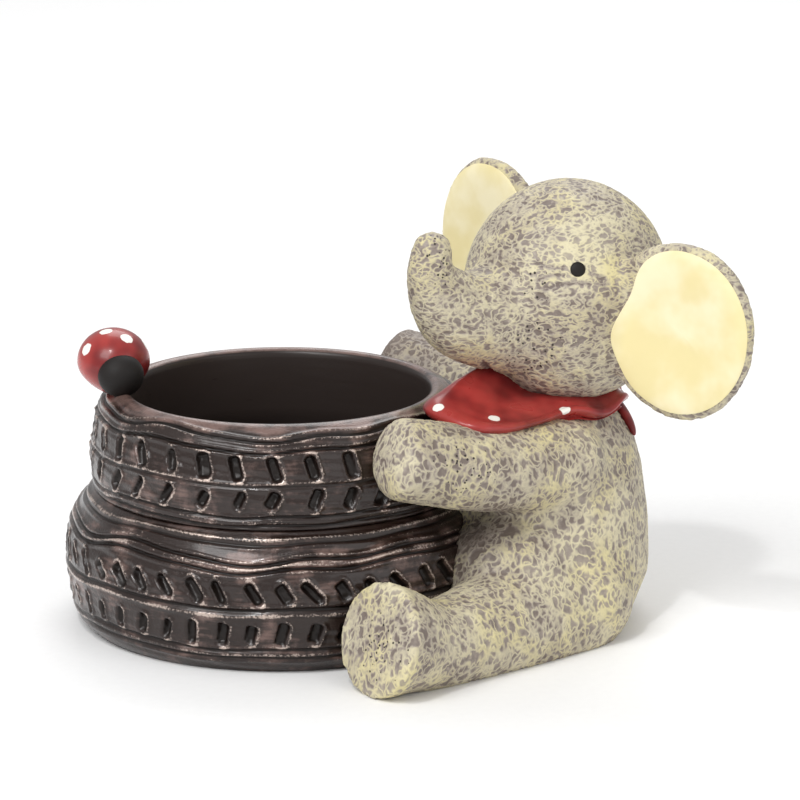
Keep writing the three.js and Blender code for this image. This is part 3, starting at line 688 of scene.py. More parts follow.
LOWER_ROWS = (
    PitRow(18.4 * MM, 45, 36, 5.6 * MM, 2.4 * MM),
    PitRow(9.1 * MM, 45, -10, 4.9 * MM, 2.2 * MM),
)

# Each line or row round a tyre strays from level a little unlike the one before it
LINE_PHASE = 0.15
ROW_PHASE = 2.9
# Lips beside a groove, in widths from its middle, and how high they stand as a share of its depth
LIP_AWAY = 1.8
LIP_SHARE = 0.42
# Height of a ridge's shoulders as a share of the ridge
SHOULDER_SHARE = 0.25
# Spread of the pits' leans, in degrees, and of their places along the row, and the row's own wave
LEAN_SPREAD = 7
PLACE_SPREAD = 0.3 * MM
ROW_WAVE = 0.3 * MM
# Unevenness of a tyre's wall, and how far it shifts between the ground and the rim
WOBBLE = 0.22 * MM
WOBBLE_PHASE = 40
# Shoulder of the lower tyre, which the brush rubbed and which gets a painted highlight
SHOULDER_HEIGHT = 24.6 * MM
SHOULDER_WIDTH = 1.6 * MM


def wander(angle, phase):
    """How far a line drawn by hand strays from level, from -1 to 1, as it goes round."""
    return (
        0.5 * np.sin(5 * angle + phase)
        + 0.3 * np.sin(8 * angle + 2.3 * phase)
        + 0.2 * np.sin(13 * angle + 4.1 * phase)
    )


def line_relief(line, phase, angle, height):
    """Outward offset of one tread line, with a groove's lips or a ridge's shoulders beside it."""
    away = (height - line.height - line.wave * wander(angle, phase)) / line.width
    beside = np.exp(-(away - LIP_AWAY) ** 2) + np.exp(-(away + LIP_AWAY) ** 2)
    share = LIP_SHARE if line.depth > 0 else -SHOULDER_SHARE
    return -line.depth * (np.exp(-away ** 2) - share * beside)


def pit_relief(row, phase, sizes, angle, height, radius):
    """Outward offset of a row of pits: sunk oblongs with raised lips, no two quite alike."""
    draw = np.random.default_rng(row.number + round(row.height / MM))
    leans = np.radians(row.lean + draw.normal(0, LEAN_SPREAD, row.number))
    halves = row.length / 2 * draw.uniform(0.75, 1.12, row.number)
    widths = row.width * draw.uniform(0.7, 1.2, row.number)
    depths = sizes.pit_depth * draw.uniform(0.7, 1.1, row.number)
    shifts = draw.normal(0, PLACE_SPREAD, row.number)
    step = math.tau / row.number
    nearest = np.round(angle / step).astype(int)
    pit = nearest % row.number
    sideways = radius * (angle - nearest * step) + shifts[pit]
    upwards = height - row.height - ROW_WAVE * wander(angle, phase)
    across = sideways * np.cos(leans[pit]) + upwards * np.sin(leans[pit])
    along = upwards * np.cos(leans[pit]) - sideways * np.sin(leans[pit])
    corner = row.width * 0.36
    beyond_side = np.abs(across) - widths[pit] / 2 + corner
    beyond_end = np.abs(along) - halves[pit] + corner
    outside = np.hypot(np.maximum(beyond_side, 0), np.maximum(beyond_end, 0))
    distance = outside + np.minimum(np.maximum(beyond_side, beyond_end), 0) - corner
    # A pit is deeper at its top, and its lip stands higher on the side that the tool pushed to
    lip = np.exp(-((distance - 0.5 * MM) / (0.4 * MM)) ** 2)
    sunk = smoothstep(0.14 * MM, -0.55 * MM, distance)
    tilt = 1 + 0.35 * np.clip(along / halves[pit], -1, 1)
    pushed = 0.25 + 0.75 * smoothstep(-0.3 * row.width, 0.3 * row.width, across)
    return sizes.lip_height * lip * pushed - depths[pit] * sunk * tilt


def press_tread(tyre, sizes, lines, rows, low, high):
    """Presses lines and pits into a spun tyre and keeps the relief, in millimetres, for its paint."""
    points = positions(tyre)
    radius = np.hypot(points[:, 0], points[:, 1])
    angle = np.arctan2(points[:, 1], points[:, 0])
    height = points[:, 2]
    relief = np.zeros(len(points))
    for number, line in enumerate(lines):
        relief += line_relief(line, LINE_PHASE * number, angle, height)
    for number, row in enumerate(rows):
        relief += pit_relief(row, ROW_PHASE * number, sizes, angle, height, radius)
    # The tread fades out at the rim, at the tyre's lower edge and inside the pot
    outer = smoothstep(sizes.cavity_radius + 1.2 * MM, sizes.cavity_radius + 2.6 * MM, radius)
    outer *= smoothstep(low, low + 0.8 * MM, height) * smoothstep(high, high - 1.2 * MM, height)
    relief *= outer
    wobble = WOBBLE * outer * wander(angle, WOBBLE_PHASE * height / POT_TOP)
    pressed = points + directions(tyre) * (relief + wobble)[:, None]
    pressed[:, 2] = np.maximum(pressed[:, 2], 0)
    reshape(tyre, pressed)
    # The brush doesn't reach inside the pot, and rubs the rim and the lower tyre's shoulder most; that
    # extra grey is partly a painted highlight on these upward faces
    inside = smoothstep(sizes.cavity_radius + 0.9 * MM, sizes.cavity_radius + 0.1 * MM, radius)
    relief -= 0.7 * MM * inside
    rubbed = 0.2 * smoothstep(POT_TOP - 2.2 * MM, POT_TOP - 0.4 * MM, height)
    rubbed += 0.1 * np.exp(-((height - SHOULDER_HEIGHT) / SHOULDER_WIDTH) ** 2) - 0.04
    keep(tyre, inside=inside, relief=relief / MM, rubbed=rubbed)


def spun(profile, steps):
    """Draws a profile by extruding a point, and spins it round the pot's axis."""
    clear_selection()
    radius, height = profile[0]
    bpy.ops.mesh.primitive_plane_add(size=MM, enter_editmode=True, location=(radius, 0, height))
    bpy.ops.mesh.merge(type="CENTER")
    for (radius, height), (next_radius, next_height) in zip(profile, profile[1:]):
        bpy.ops.mesh.extrude_vertices_move(
            TRANSFORM_OT_translate={"value": (next_radius - radius, 0, next_height - height)},
        )
    bpy.ops.mesh.select_all(action="SELECT")
    bpy.ops.mesh.spin(steps=steps, angle=math.tau, center=(0, 0, 0), axis=(0, 0, 1))
    bpy.ops.mesh.select_all(action="SELECT")
    bpy.ops.mesh.remove_doubles(threshold=MERGE)
    bpy.ops.mesh.normals_make_consistent(inside=False)
    bpy.ops.object.mode_set(mode="OBJECT")
    return settle()


class FLOWERPOT_OT_tyres(bpy.types.Operator):
    """Spin both tyres and press their tread"""

    bl_idname = "flowerpot.tyres"
    bl_label = "Tyres"

    def execute(self, context):
        sizes = context.scene.pot_tyres
        paint = tyre_paint(context.scene.pot_colours)
        self.upper(sizes, paint)
        self.lower(sizes, paint)
        return {"FINISHED"}

    def upper(self, sizes, paint):
        """Upper tyre, open through its middle, with the pot's rim."""
        inner = sizes.cavity_radius
        wall = through([
            (sizes.seam_radius, UPPER_TYRE_BOTTOM),
            (sizes.upper_radius, UPPER_TYRE_BOTTOM + 7.8 * MM),
            (inner + sizes.rim_width + 2.4 * MM, POT_TOP - 4.1 * MM),
            (inner + sizes.rim_width, POT_TOP - 1.3 * MM),
            (inner + 2.2 * MM, POT_TOP),
            (inner + 0.5 * MM, POT_TOP - 0.6 * MM),
            (inner, POT_TOP - 2 * MM),
        ], 200)
        lining = [(inner, UPPER_TYRE_BOTTOM + 8 * MM), (inner, UPPER_TYRE_BOTTOM)]
        profile = [*evenly(wall, sizes.grain), *lining, wall[0]]
        tyre = spun(profile, sizes.steps)
        press_tread(tyre, sizes, UPPER_LINES, UPPER_ROWS, UPPER_TYRE_BOTTOM, POT_TOP)
        hand_over(tyre, "upper_tyre_tread", paint, "tyre_resin", "upper_tyre")

    def lower(self, sizes, paint):
        """Lower tyre, closed by the pot's floor."""
        inner = sizes.cavity_radius
        wall = through([
            (sizes.base_radius, 0),
            (sizes.base_radius + 2.7 * MM, 4.1 * MM),
            (sizes.lower_radius, 16.5 * MM),
            (sizes.lower_radius - 1.8 * MM, 24.4 * MM),
            (sizes.seam_radius, POT_SEAM),
        ], 200)
        inside = [
            (inner, POT_SEAM),
            (inner, POT_SEAM / 2),
            (inner, sizes.floor + 4 * MM),
            (inner - 1.2 * MM, sizes.floor + 1.2 * MM),
            (inner - 4 * MM, sizes.floor),
            (inner / 2, sizes.floor),
            (0, sizes.floor),
        ]
        profile = [(0, 0), (sizes.base_radius / 2, 0), *evenly(wall, sizes.grain), *inside]
        tyre = spun(profile, sizes.steps)
        press_tread(tyre, sizes, LOWER_LINES, LOWER_ROWS, 0, POT_SEAM)
        hand_over(tyre, "lower_tyre_tread", paint, "tyre_resin", "lower_tyre")


# Calf


def sided(point, side):
    """A point given for the calf's right, on the asked side."""
    return Vector((point[0], side * point[1], point[2]))


def torso_form(sizes):
    """Ellipses stacked from below the ground to the neck by extruding a ring and resizing it."""
    # Each level as shares of the torso's height, half width and half depth
    levels = (
        (-0.1, 0.76, 0.66), (0.0, 0.86, 0.77), (0.06, 0.93, 0.87), (0.22, 1, 1), (0.45, 0.95, 0.98),
        (0.66, 0.85, 0.92), (0.82, 0.73, 0.82), (0.94, 0.54, 0.62), (1, 0.38, 0.44),
    )
    share, width, depth = levels[0]
    centre = Vector(sizes.torso_place)
    start = centre + Vector((0, 0, share * sizes.torso_height))
    clear_selection()
    bpy.ops.mesh.primitive_circle_add(vertices=64, radius=1, fill_type="NOTHING", location=start)
    torso = bpy.context.object
    torso.scale = (sizes.torso_half_depth * depth, sizes.torso_half_width * width, 1)
    settle()
    with editing(torso):
        bpy.ops.mesh.edge_face_add()
        for (share, width, depth), (next_share, next_width, next_depth) in zip(levels, levels[1:]):
            rise = (next_share - share) * sizes.torso_height
            bpy.ops.mesh.extrude_region_move(TRANSFORM_OT_translate={"value": (0, 0, rise)})
            bpy.ops.transform.resize(
                value=(next_depth / depth, next_width / width, 1),
                center_override=centre + Vector((0, 0, next_share * sizes.torso_height)),
            )
        bpy.ops.mesh.select_all(action="SELECT")
        bpy.ops.mesh.normals_make_consistent(inside=False)
    return torso


class Daub(NamedTuple):
    """A soft area of the skin, in millimetres, with more or less cream, and with pores if any. Some lay
    painted shade or a painted highlight
    """

    point: tuple
    radius: float
    cream: float
    pores: float = 0


def daub(skin, matrix, daubs, creased=0):
    """Keeps for the paint how much more or less cream, and how many pores, the skin gets where; some
    daubs lay painted shade or a painted highlight this way.
    """
    points = positions(skin)
    cream_shade_and_highlight = np.zeros(len(points)) - creased
    pored = np.zeros(len(points))
    for spot in daubs:
        away = np.linalg.norm(points - np.array(matrix @ (Vector(spot.point) * MM)), axis=1)
        share = np.exp(-(away / (spot.radius * MM)) ** 2)
        cream_shade_and_highlight += spot.cream * share
        pored += spot.pores * share
    keep(skin, cream=cream_shade_and_highlight, pores=np.minimum(pored, 1))


# Points along a stroke, and a distance from its middle that no stroke reaches
STROKE_STEPS = 30
STROKE_REACH = 14 * MM


class Stroke(NamedTuple):
    """A crease pressed into the skin along a line through points of the head's frame, in millimetres"""

    points: tuple
    depth: float
    width: float


def crease(skin, matrix, strokes):
    """Presses creases into the skin, and returns how deep in one each point lies, from 0 to 1."""
    points = positions(skin)
    offset = np.zeros(len(points))
    creased = np.zeros(len(points))
    for stroke in strokes:
        line = moved(through(stroke.points, STROKE_STEPS) * MM, matrix)
        middle = line[len(line) // 2]
        near = np.flatnonzero(np.linalg.norm(points - middle, axis=1) < STROKE_REACH)
        away = np.linalg.norm(points[near, None] - line[None], axis=2).min(axis=1)
        groove = np.exp(-(away / (stroke.width * MM)) ** 2)
        offset[near] -= stroke.depth * MM * groove
        creased[near] = np.maximum(creased[near], groove)
    reshape(skin, points + directions(skin) * offset[:, None])
    return creased


def roughen(skin, depth, stretch):
    """Raises the skin's stipple in the mesh, where its paint will show it."""
    tree = bpy.data.node_groups.new("stippled_skin", "GeometryNodeTree")
    tree.interface.new_socket("Geometry", in_out="INPUT", socket_type="NodeSocketGeometry")
    tree.interface.new_socket("Geometry", in_out="OUTPUT", socket_type="NodeSocketGeometry")
    given = add(tree, "NodeGroupInput")
    height = skin_height(tree, add(tree, "GeometryNodeInputPosition"), stretch)
    lift = add(tree, MATH, {0: height, 1: depth, 2: -depth / 2}, operation="MULTIPLY_ADD")
    normal = add(tree, "GeometryNodeInputNormal")
    offset = add(tree, VECTOR_MATH, {0: normal, "Scale": lift}, operation="SCALE")
    lifted = add(tree, "GeometryNodeSetPosition", {"Geometry": given, "Offset": offset})
    add(tree, "NodeGroupOutput", {0: lifted})
    apply_modifier(skin, "NODES", node_group=tree)


def cut_flat(piece):
    """Cuts the piece off at the ground and closes the cut."""
    with editing(piece):
        bpy.ops.mesh.bisect(
            plane_co=(0, 0, 0), plane_no=(0, 0, 1), use_fill=True, clear_inner=True,
            threshold=0.001 * MM,
        )


class FLOWERPOT_OT_calf_body(bpy.types.Operator):
    """Melt the torso, legs and arms into one skin"""

    bl_idname = "flowerpot.calf_body"
    bl_label = "Calf's body"

    # Hollows of the body's skin stand a little taller than they are wide
    stretch = (1.0, 1.0, 0.8)
    # Height of its ridges above its hollows
    stipple = 0.3 * MM
    # Brushing and painted shade that both sides share, given for the calf's right
    paired_brushing_and_shade = (
        Daub((40, 42, 16), 14, 0.1),
        Daub((74, 22, 20), 18, 0.08),
        Daub((48, 36, 42), 14, -0.1),
        Daub((17, 59, 14), 7, -0.16),
        Daub((22, 63, 12), 7, 0.0, 2.5),
        # Painted shade in the crease behind the sole
        Daub((28.5, 63, 21), 3.5, -0.3),
        Daub((31.5, 66, 14), 3.5, -0.3),
        Daub((33, 66, 7), 3.5, -0.2),
        # Painted shade on the belly beside the pot and under the arm
        Daub((42, 28, 24), 8, -0.5),
        Daub((45, 33, 33), 5, -0.4),
        Daub((26, 42, 44), 8, -0.1),
        Daub((45, 52, 48), 11, 0.0, 2.5),
    )
    back_daub = Daub((80, 0, 45), 14, -0.12)
    # Painted shade over the far hand, which lies on the pot's far rim
    far_hand_shade = Daub((26, 42, 48), 13, -0.7)
    # Daubs round the edge of a sole
    rim_number = 20
    rim_radius = 2.4
    rim_cream = 0.3

    def execute(self, context):
        sizes = context.scene.pot_calf
        forms = [torso_form(sizes)]
        for side in SIDE_NAMES:
            forms.append(ball(sided(sizes.haunch, side), (sizes.haunch_radius,) * 3))
            forms.append(ball(sided(sizes.seat, side), (sizes.seat_radius,) * 3))
            forms += self.leg(sizes, side)
            forms += self.arm(sizes, side)
        body = melted(forms, sizes.grain, sizes.rounds)
        roughen(body, self.stipple, self.stretch)
        cut_flat(body)
        daubs = [self.back_daub, self.far_hand_shade]
        for side in SIDE_NAMES:
            daubs += [spot._replace(point=sided(spot.point, side)) for spot in self.paired_brushing_and_shade]
            daubs += self.sole_rim(sizes, side)
        daub(body, Matrix(), daubs)
        paint = calf_paint("crackle_brushed_body", context.scene.pot_colours, self.stretch)
        limbs = [f"{name}_{limb}" for name in SIDE_NAMES.values() for limb in ("leg", "arm")]
        hand_over(body, "calf_body", paint, "elephant_resin", "torso", *limbs)
        return {"FINISHED"}

    def leg(self, sizes, side):
        """Leg from the hip round the lower tyre to the upturned sole."""
        hip, ankle, foot = (sided(point, side) for point in (sizes.hip, sizes.ankle, sizes.foot))
        instep = ankle.lerp(foot, 0.68)
        path = [hip, hip.lerp(ankle, 0.4), ankle, instep, foot]
        radii = [
            sizes.hip_radius, sizes.hip_radius * 0.9, sizes.ankle_radius,
            sizes.foot_radius * 0.9, sizes.foot_radius,
        ]
        return [*tube(path, radii, blunt=0.06), ball(hip, (sizes.hip_radius,) * 3)]

    def sole_rim(self, sizes, side):
        """Daubs round the edge of a sole, where the brush caught it."""
        ankle, foot = sided(sizes.ankle, side), sided(sizes.foot, side)
        turned = (foot - ankle).to_track_quat("Z", "Y")
        rim = []
        for angle in np.linspace(0, math.tau, self.rim_number, endpoint=False):
            edge = turned @ Vector((math.cos(angle), math.sin(angle), 0)) * sizes.foot_radius
            rim.append(Daub((foot + edge) / MM, self.rim_radius, self.rim_cream))
        return rim

    def arm(self, sizes, side):
        """Arm from the shoulder round the upper tyre to the blunt hand."""
        joints = (sizes.shoulder, sizes.elbow, sizes.hand)
        shoulder, elbow, hand = (sided(point, side) for point in joints)
        path = [shoulder, elbow, elbow.lerp(hand, 0.5), hand]
        radii = [sizes.shoulder_radius, sizes.arm_radius, sizes.arm_radius, sizes.hand_radius]
        return [*tube(path, radii, blunt=0.4), ball(shoulder, (sizes.shoulder_radius,) * 3)]


def head_matrix(sizes):
    """Head's own frame: +X to the face, +Y to the calf's left, +Z to the crown."""
    return (
        Matrix.Translation(HEAD_CENTRE)
        @ Matrix.Rotation(math.pi + sizes.turned, 4, "Z")
        @ Matrix.Rotation(-sizes.lean, 4, "X")
    )


def ear_matrix(sizes, side):
    """Ear's own frame: +X away from the head, +Y to the ear's front, +Z up."""
    stand_out = sizes.left_ear_stand_out if side == LEFT else sizes.right_ear_stand_out
    sweep = sizes.left_ear_sweep if side == LEFT else sizes.right_ear_sweep
    return (
        head_matrix(sizes)
        @ Matrix.Translation((-sizes.ear_set_back, -side * (sizes.half_width + stand_out), 0))
        @ Matrix.Rotation(-side * (math.pi / 2 + sweep), 4, "Z")
        @ Matrix.Rotation(sizes.ear_tilt, 4, "Y")
        @ Matrix.Scale(side, 4, (0, 1, 0))
    )


def ear_form(sizes, side):
    """Ear: a ball flattened to a dished disc with a round rim."""
    ear = ball(segments=64)
    x, y, z = positions(ear).T
    share = np.clip(np.hypot(x, z), 0, 1)
    half = sizes.ear_thickness / 2 * (1 - share ** 5) ** 0.4
    hollow = sizes.ear_dish * (1 - share ** 2) ** 1.2
    depth = np.where(y > 0, half - hollow, -half)
    wide = np.where(x > 0, sizes.ear_half_width, sizes.ear_root_width)
    shaped = np.stack([x * wide, depth, z * sizes.ear_half_height], axis=1)
    reshape(ear, moved(shaped, ear_matrix(sizes, side)))
    if side == LEFT:
        ear.data.flip_normals()
    return ear


class FLOWERPOT_OT_calf_head(bpy.types.Operator):
    """Melt the head, trunk and ears into one skin"""

    bl_idname = "flowerpot.calf_head"
    bl_label = "Calf's head"

    # Hollows of the head's skin lie longer than they are high
    stretch = (1.0, 1.0, 1.45)
    # Height of its ridges above its hollows
    stipple = 0.22 * MM
    # How much fuller and lower the jaw is than a ball
    jaw_fullness = 0.2
    jaw_drop = 0.04
    # Cream that a crease goes without
    crease_loss = 0.8
    # Brushing, painted shade and a painted highlight, in the head's own frame
    daubs = (
        Daub((11, 17, 14), 8, 0.4),
        Daub((8, 20, 0), 12, -0.16),
        Daub((18, 12, -8), 10, -0.06, 1.3),
        Daub((16, 2, 20), 12, -0.07),
        # Painted highlight on the crown
        Daub((0, 8, 24), 12, 0.04),
        Daub((38, 0, 8), 9, -0.04),
        Daub((37, 4, 15), 7, 0.0, 2.5),
        Daub((19, 11, 7), 3, 0.0, 2.0),
        # Painted shade under the jaw
        Daub((8, 10, -21), 9, -0.22),
    )
    # Creases round the near eye, and last the one under the trunk
    strokes = (
        Stroke(((18, 9.3, 11.1), (16.3, 12.4, 10.4), (14.4, 14.3, 10.8)), 0.3, 0.42),
        Stroke(((18.5, 11.1, 7.6), (16.7, 13, 8.9), (14.7, 14.9, 9.4)), 0.3, 0.42),
        Stroke(((17.8, 13.1, 5.9), (15.4, 15.1, 7.3), (12, 17.6, 8.1), (10.2, 18.7, 7.9)), 0.35, 0.46),
        Stroke(((9.4, 18.2, 10.1), (7.9, 19.2, 9.4), (6.7, 19.9, 8.7)), 0.3, 0.42),
        Stroke(((8.8, 19.4, 8), (6.8, 20.1, 7.9)), 0.3, 0.42),
        Stroke(((18.5, 12.5, 4.7), (17.5, 14.1, 3.9)), 0.3, 0.42),
        Stroke(((27, 6, -12), (22.4, 3, -15.4), (19.5, 2.1, -16.9)), 1.0, 0.8),
    )

    def execute(self, context):
        sizes = context.scene.pot_head
        matrix = head_matrix(sizes)
        forms = [self.skull(sizes, matrix), *self.trunk(sizes, matrix)]
        forms += [ear_form(sizes, side) for side in SIDE_NAMES]
        head = melted(forms, sizes.grain, sizes.rounds)
        creased = crease(head, matrix, self.strokes)
        roughen(head, self.stipple, self.stretch)
        daub(head, matrix, self.daubs, self.crease_loss * creased)
        paint = calf_paint("crackle_brushed_head", context.scene.pot_colours, self.stretch)
        ears = [f"{name}_ear" for name in SIDE_NAMES.values()]
        hand_over(head, "calf_head", paint, "elephant_resin", "head", "trunk", *ears)
        return {"FINISHED"}

    def skull(self, sizes, matrix):
        """Skull: a ball, a little fuller at the jaw than at the crown."""
        skull = ball(segments=64)
        x, y, z = positions(skull).T
        jaw = np.maximum(-z, 0)
        fuller = 1 + self.jaw_fullness * jaw ** 2
        shaped = np.stack([
            x * fuller * sizes.half_length,
            y * fuller * sizes.half_width,
            (z - self.jaw_drop * jaw) * sizes.half_height,
        ], axis=1)
        reshape(skull, moved(shaped, matrix))
        return skull

    def trunk(self, sizes, matrix):
        """Trunk: sets out low on the face, sweeps forward and curls up to its tip."""
        root = sizes.half_length * 0.62
        reach = sizes.half_length + sizes.trunk_out
        rise = sizes.trunk_tip_rise
        middle = (sizes.trunk_root_radius + sizes.trunk_tip_radius) / 2
        path = [
            matrix @ Vector((forward, 0, up)) for forward, up in (
                (root, -5.2 * MM),
                (root + 0.56 * (reach - root), -2.5 * MM),
                (reach - 4.3 * MM, rise * 0.16),
                (reach, rise * 0.62),
                (reach, rise),
            )
        ]
        radii = [
            sizes.trunk_root_radius, middle * 1.16, middle * 0.9,
            sizes.trunk_tip_radius * 1.18, sizes.trunk_tip_radius,
        ]
        return tube(path, radii, blunt=0.95)


class FLOWERPOT_OT_ear_linings(bpy.types.Operator):
    """Brush the cream paint into both ears"""

    bl_idname = "flowerpot.ear_linings"
    bl_label = "Ear linings"

    # Edge of the paint as shares of the ear's outline, in equal turns from the ear's outer side upwards
    edge = (0.95, 0.95, 0.94, 0.93, 0.93, 0.93, 0.87, 0.72, 0.72, 0.8, 0.87, 0.9, 0.9, 0.9, 0.92, 0.94)
    # Points along that edge
    edge_steps = 193

    def execute(self, context):
        sizes = context.scene.pot_head
        head = bpy.data.objects["calf_head"]
        paint = ear_paint(context.scene.pot_colours)
        for side, name in SIDE_NAMES.items():
            film = self.film(sizes, side, head)
            hand_over(film, f"{name}_ear_paint", paint, "ear_cream", f"{name}_ear_lining")
        return {"FINISHED"}

    def film(self, sizes, side, head):
        """A thin sheet, dropped on the ear's hollow front, with an edge drawn from the listed shares.
        """
        clear_selection()
        bpy.ops.mesh.primitive_uv_sphere_add(segments=96, ring_count=40, radius=1)
        film = bpy.context.object
        with editing(film):
            bpy.ops.mesh.bisect(plane_co=(0, 0, 0), plane_no=(0, 0, 1), clear_inner=True)
        x, y, _ = positions(film).T
        shape = through([(value,) for value in (*self.edge, self.edge[0])], self.edge_steps)[:, 0]
        reach = np.interp(np.arctan2(y, x) % math.tau, np.linspace(0, math.tau, len(shape)), shape)
        wide = np.where(x > 0, sizes.ear_half_width, sizes.ear_root_width)
        before = 2 * sizes.ear_thickness
        flat = np.stack([
            x * reach * wide, np.full(len(x), before), y * reach * sizes.ear_half_height,
        ], axis=1)
        matrix = ear_matrix(sizes, side)
        inwards = -(matrix.to_3x3() @ Vector((0, 1, 0)))
        landed = []
        for point in moved(flat, matrix):
            found, place_on_ear, facing, _ = head.ray_cast(Vector(point), inwards)
            if not found:
                raise RuntimeError("the ear's paint misses the ear")
            if facing.dot(inwards) > 0:
                # The point starts inside the head, where the paint is out of sight
                place_on_ear = Vector(point) + before * inwards
            landed.append(place_on_ear - inwards * sizes.lining_film)
        reshape(film, np.array(landed))
        apply_modifier(film, "SMOOTH", factor=0.5, iterations=12)
        if side == RIGHT:
            film.data.flip_normals()
        apply_modifier(film, "SOLIDIFY", thickness=4 * sizes.lining_film, offset=-1)
        return film


class FLOWERPOT_OT_eyes(bpy.types.Operator):
    """Set the two black beads of the eyes"""

    bl_idname = "flowerpot.eyes"
    bl_label = "Eyes"

    # How far a bead's middle lies below the skin, and how far it bulges from there
    sunk = 0.25 * MM
    bulge = 0.6 * MM

    def execute(self, context):
        sizes = context.scene.pot_head
        matrix = head_matrix(sizes)
        paint = black_enamel(context.scene.pot_colours)
        radii = Vector((sizes.half_length, sizes.half_width, sizes.half_height))
        for side, name in SIDE_NAMES.items():
            aside = sizes.left_eye_side if side == LEFT else sizes.right_eye_side
            heading = Vector((
                math.cos(aside) * math.cos(sizes.eye_rise),
                -side * math.sin(aside) * math.cos(sizes.eye_rise),
                math.sin(sizes.eye_rise),
            ))
            reach = 1 / Vector(h / r for h, r in zip(heading, radii)).length
            on_head = heading * reach
            outward = Vector(p / r ** 2 for p, r in zip(on_head, radii)).normalized()
            turned = (matrix.to_3x3() @ outward).to_track_quat("Z", "Y").to_euler()
            bead = ball(
                matrix @ (on_head - self.sunk * outward),
                (sizes.eye_radius, sizes.eye_radius, self.bulge), turned, segments=32,
            )
            hand_over(bead, f"{name}_eye_bead", paint, "paint_black", f"{name}_eye")
        return {"FINISHED"}


# Neckerchief


# The cape's crown stands up within about this angle of the trunk, in radians
CROWN_ANGLE = 0.21
# Soft waves at the cape's edge: how many, where they start, in radians, and how high
FOLD_NUMBER = 6
FOLD_START = 1.2
FOLD_HEIGHT = 1.0 * MM
# Rolled hem: its height, and its middle and width as shares of the way to the edge
HEM_HEIGHT = 0.55 * MM
HEM_MIDDLE = 0.93
HEM_WIDTH = 0.06


def cape_point(scarf, turned, angle, share):
    """A point on top of the cape, at an angle from the trunk and a share of the way to its edge."""
    off = np.abs((angle - scarf.bib_turn + math.pi) % math.tau - math.pi)
    bib = 1 / (1 + (off / scarf.bib_half_angle) ** 4)
    reach = scarf.reach + scarf.bib_length * bib
    edge = scarf.edge_height + (scarf.bib_height - scarf.edge_height) * bib
    aside = np.abs((angle + math.pi) % math.tau - math.pi)
    crown = scarf.crown_height - scarf.crown_drop * (1 - np.exp(-(aside / CROWN_ANGLE) ** 2))
    radius = scarf.throat + (reach - scarf.throat) * share
    fold = FOLD_HEIGHT * share ** 2 * np.sin(FOLD_NUMBER * angle + FOLD_START)
    hem = HEM_HEIGHT * np.exp(-((share - HEM_MIDDLE) / HEM_WIDTH) ** 2)
    height = edge + (crown - edge) * (1 - share ** 2.2) + fold + hem
    heading = angle + math.pi + turned
    return np.stack([
        scarf.neck[0] + radius * np.cos(heading), scarf.neck[1] + radius * np.sin(heading), height,
    ], axis=-1)


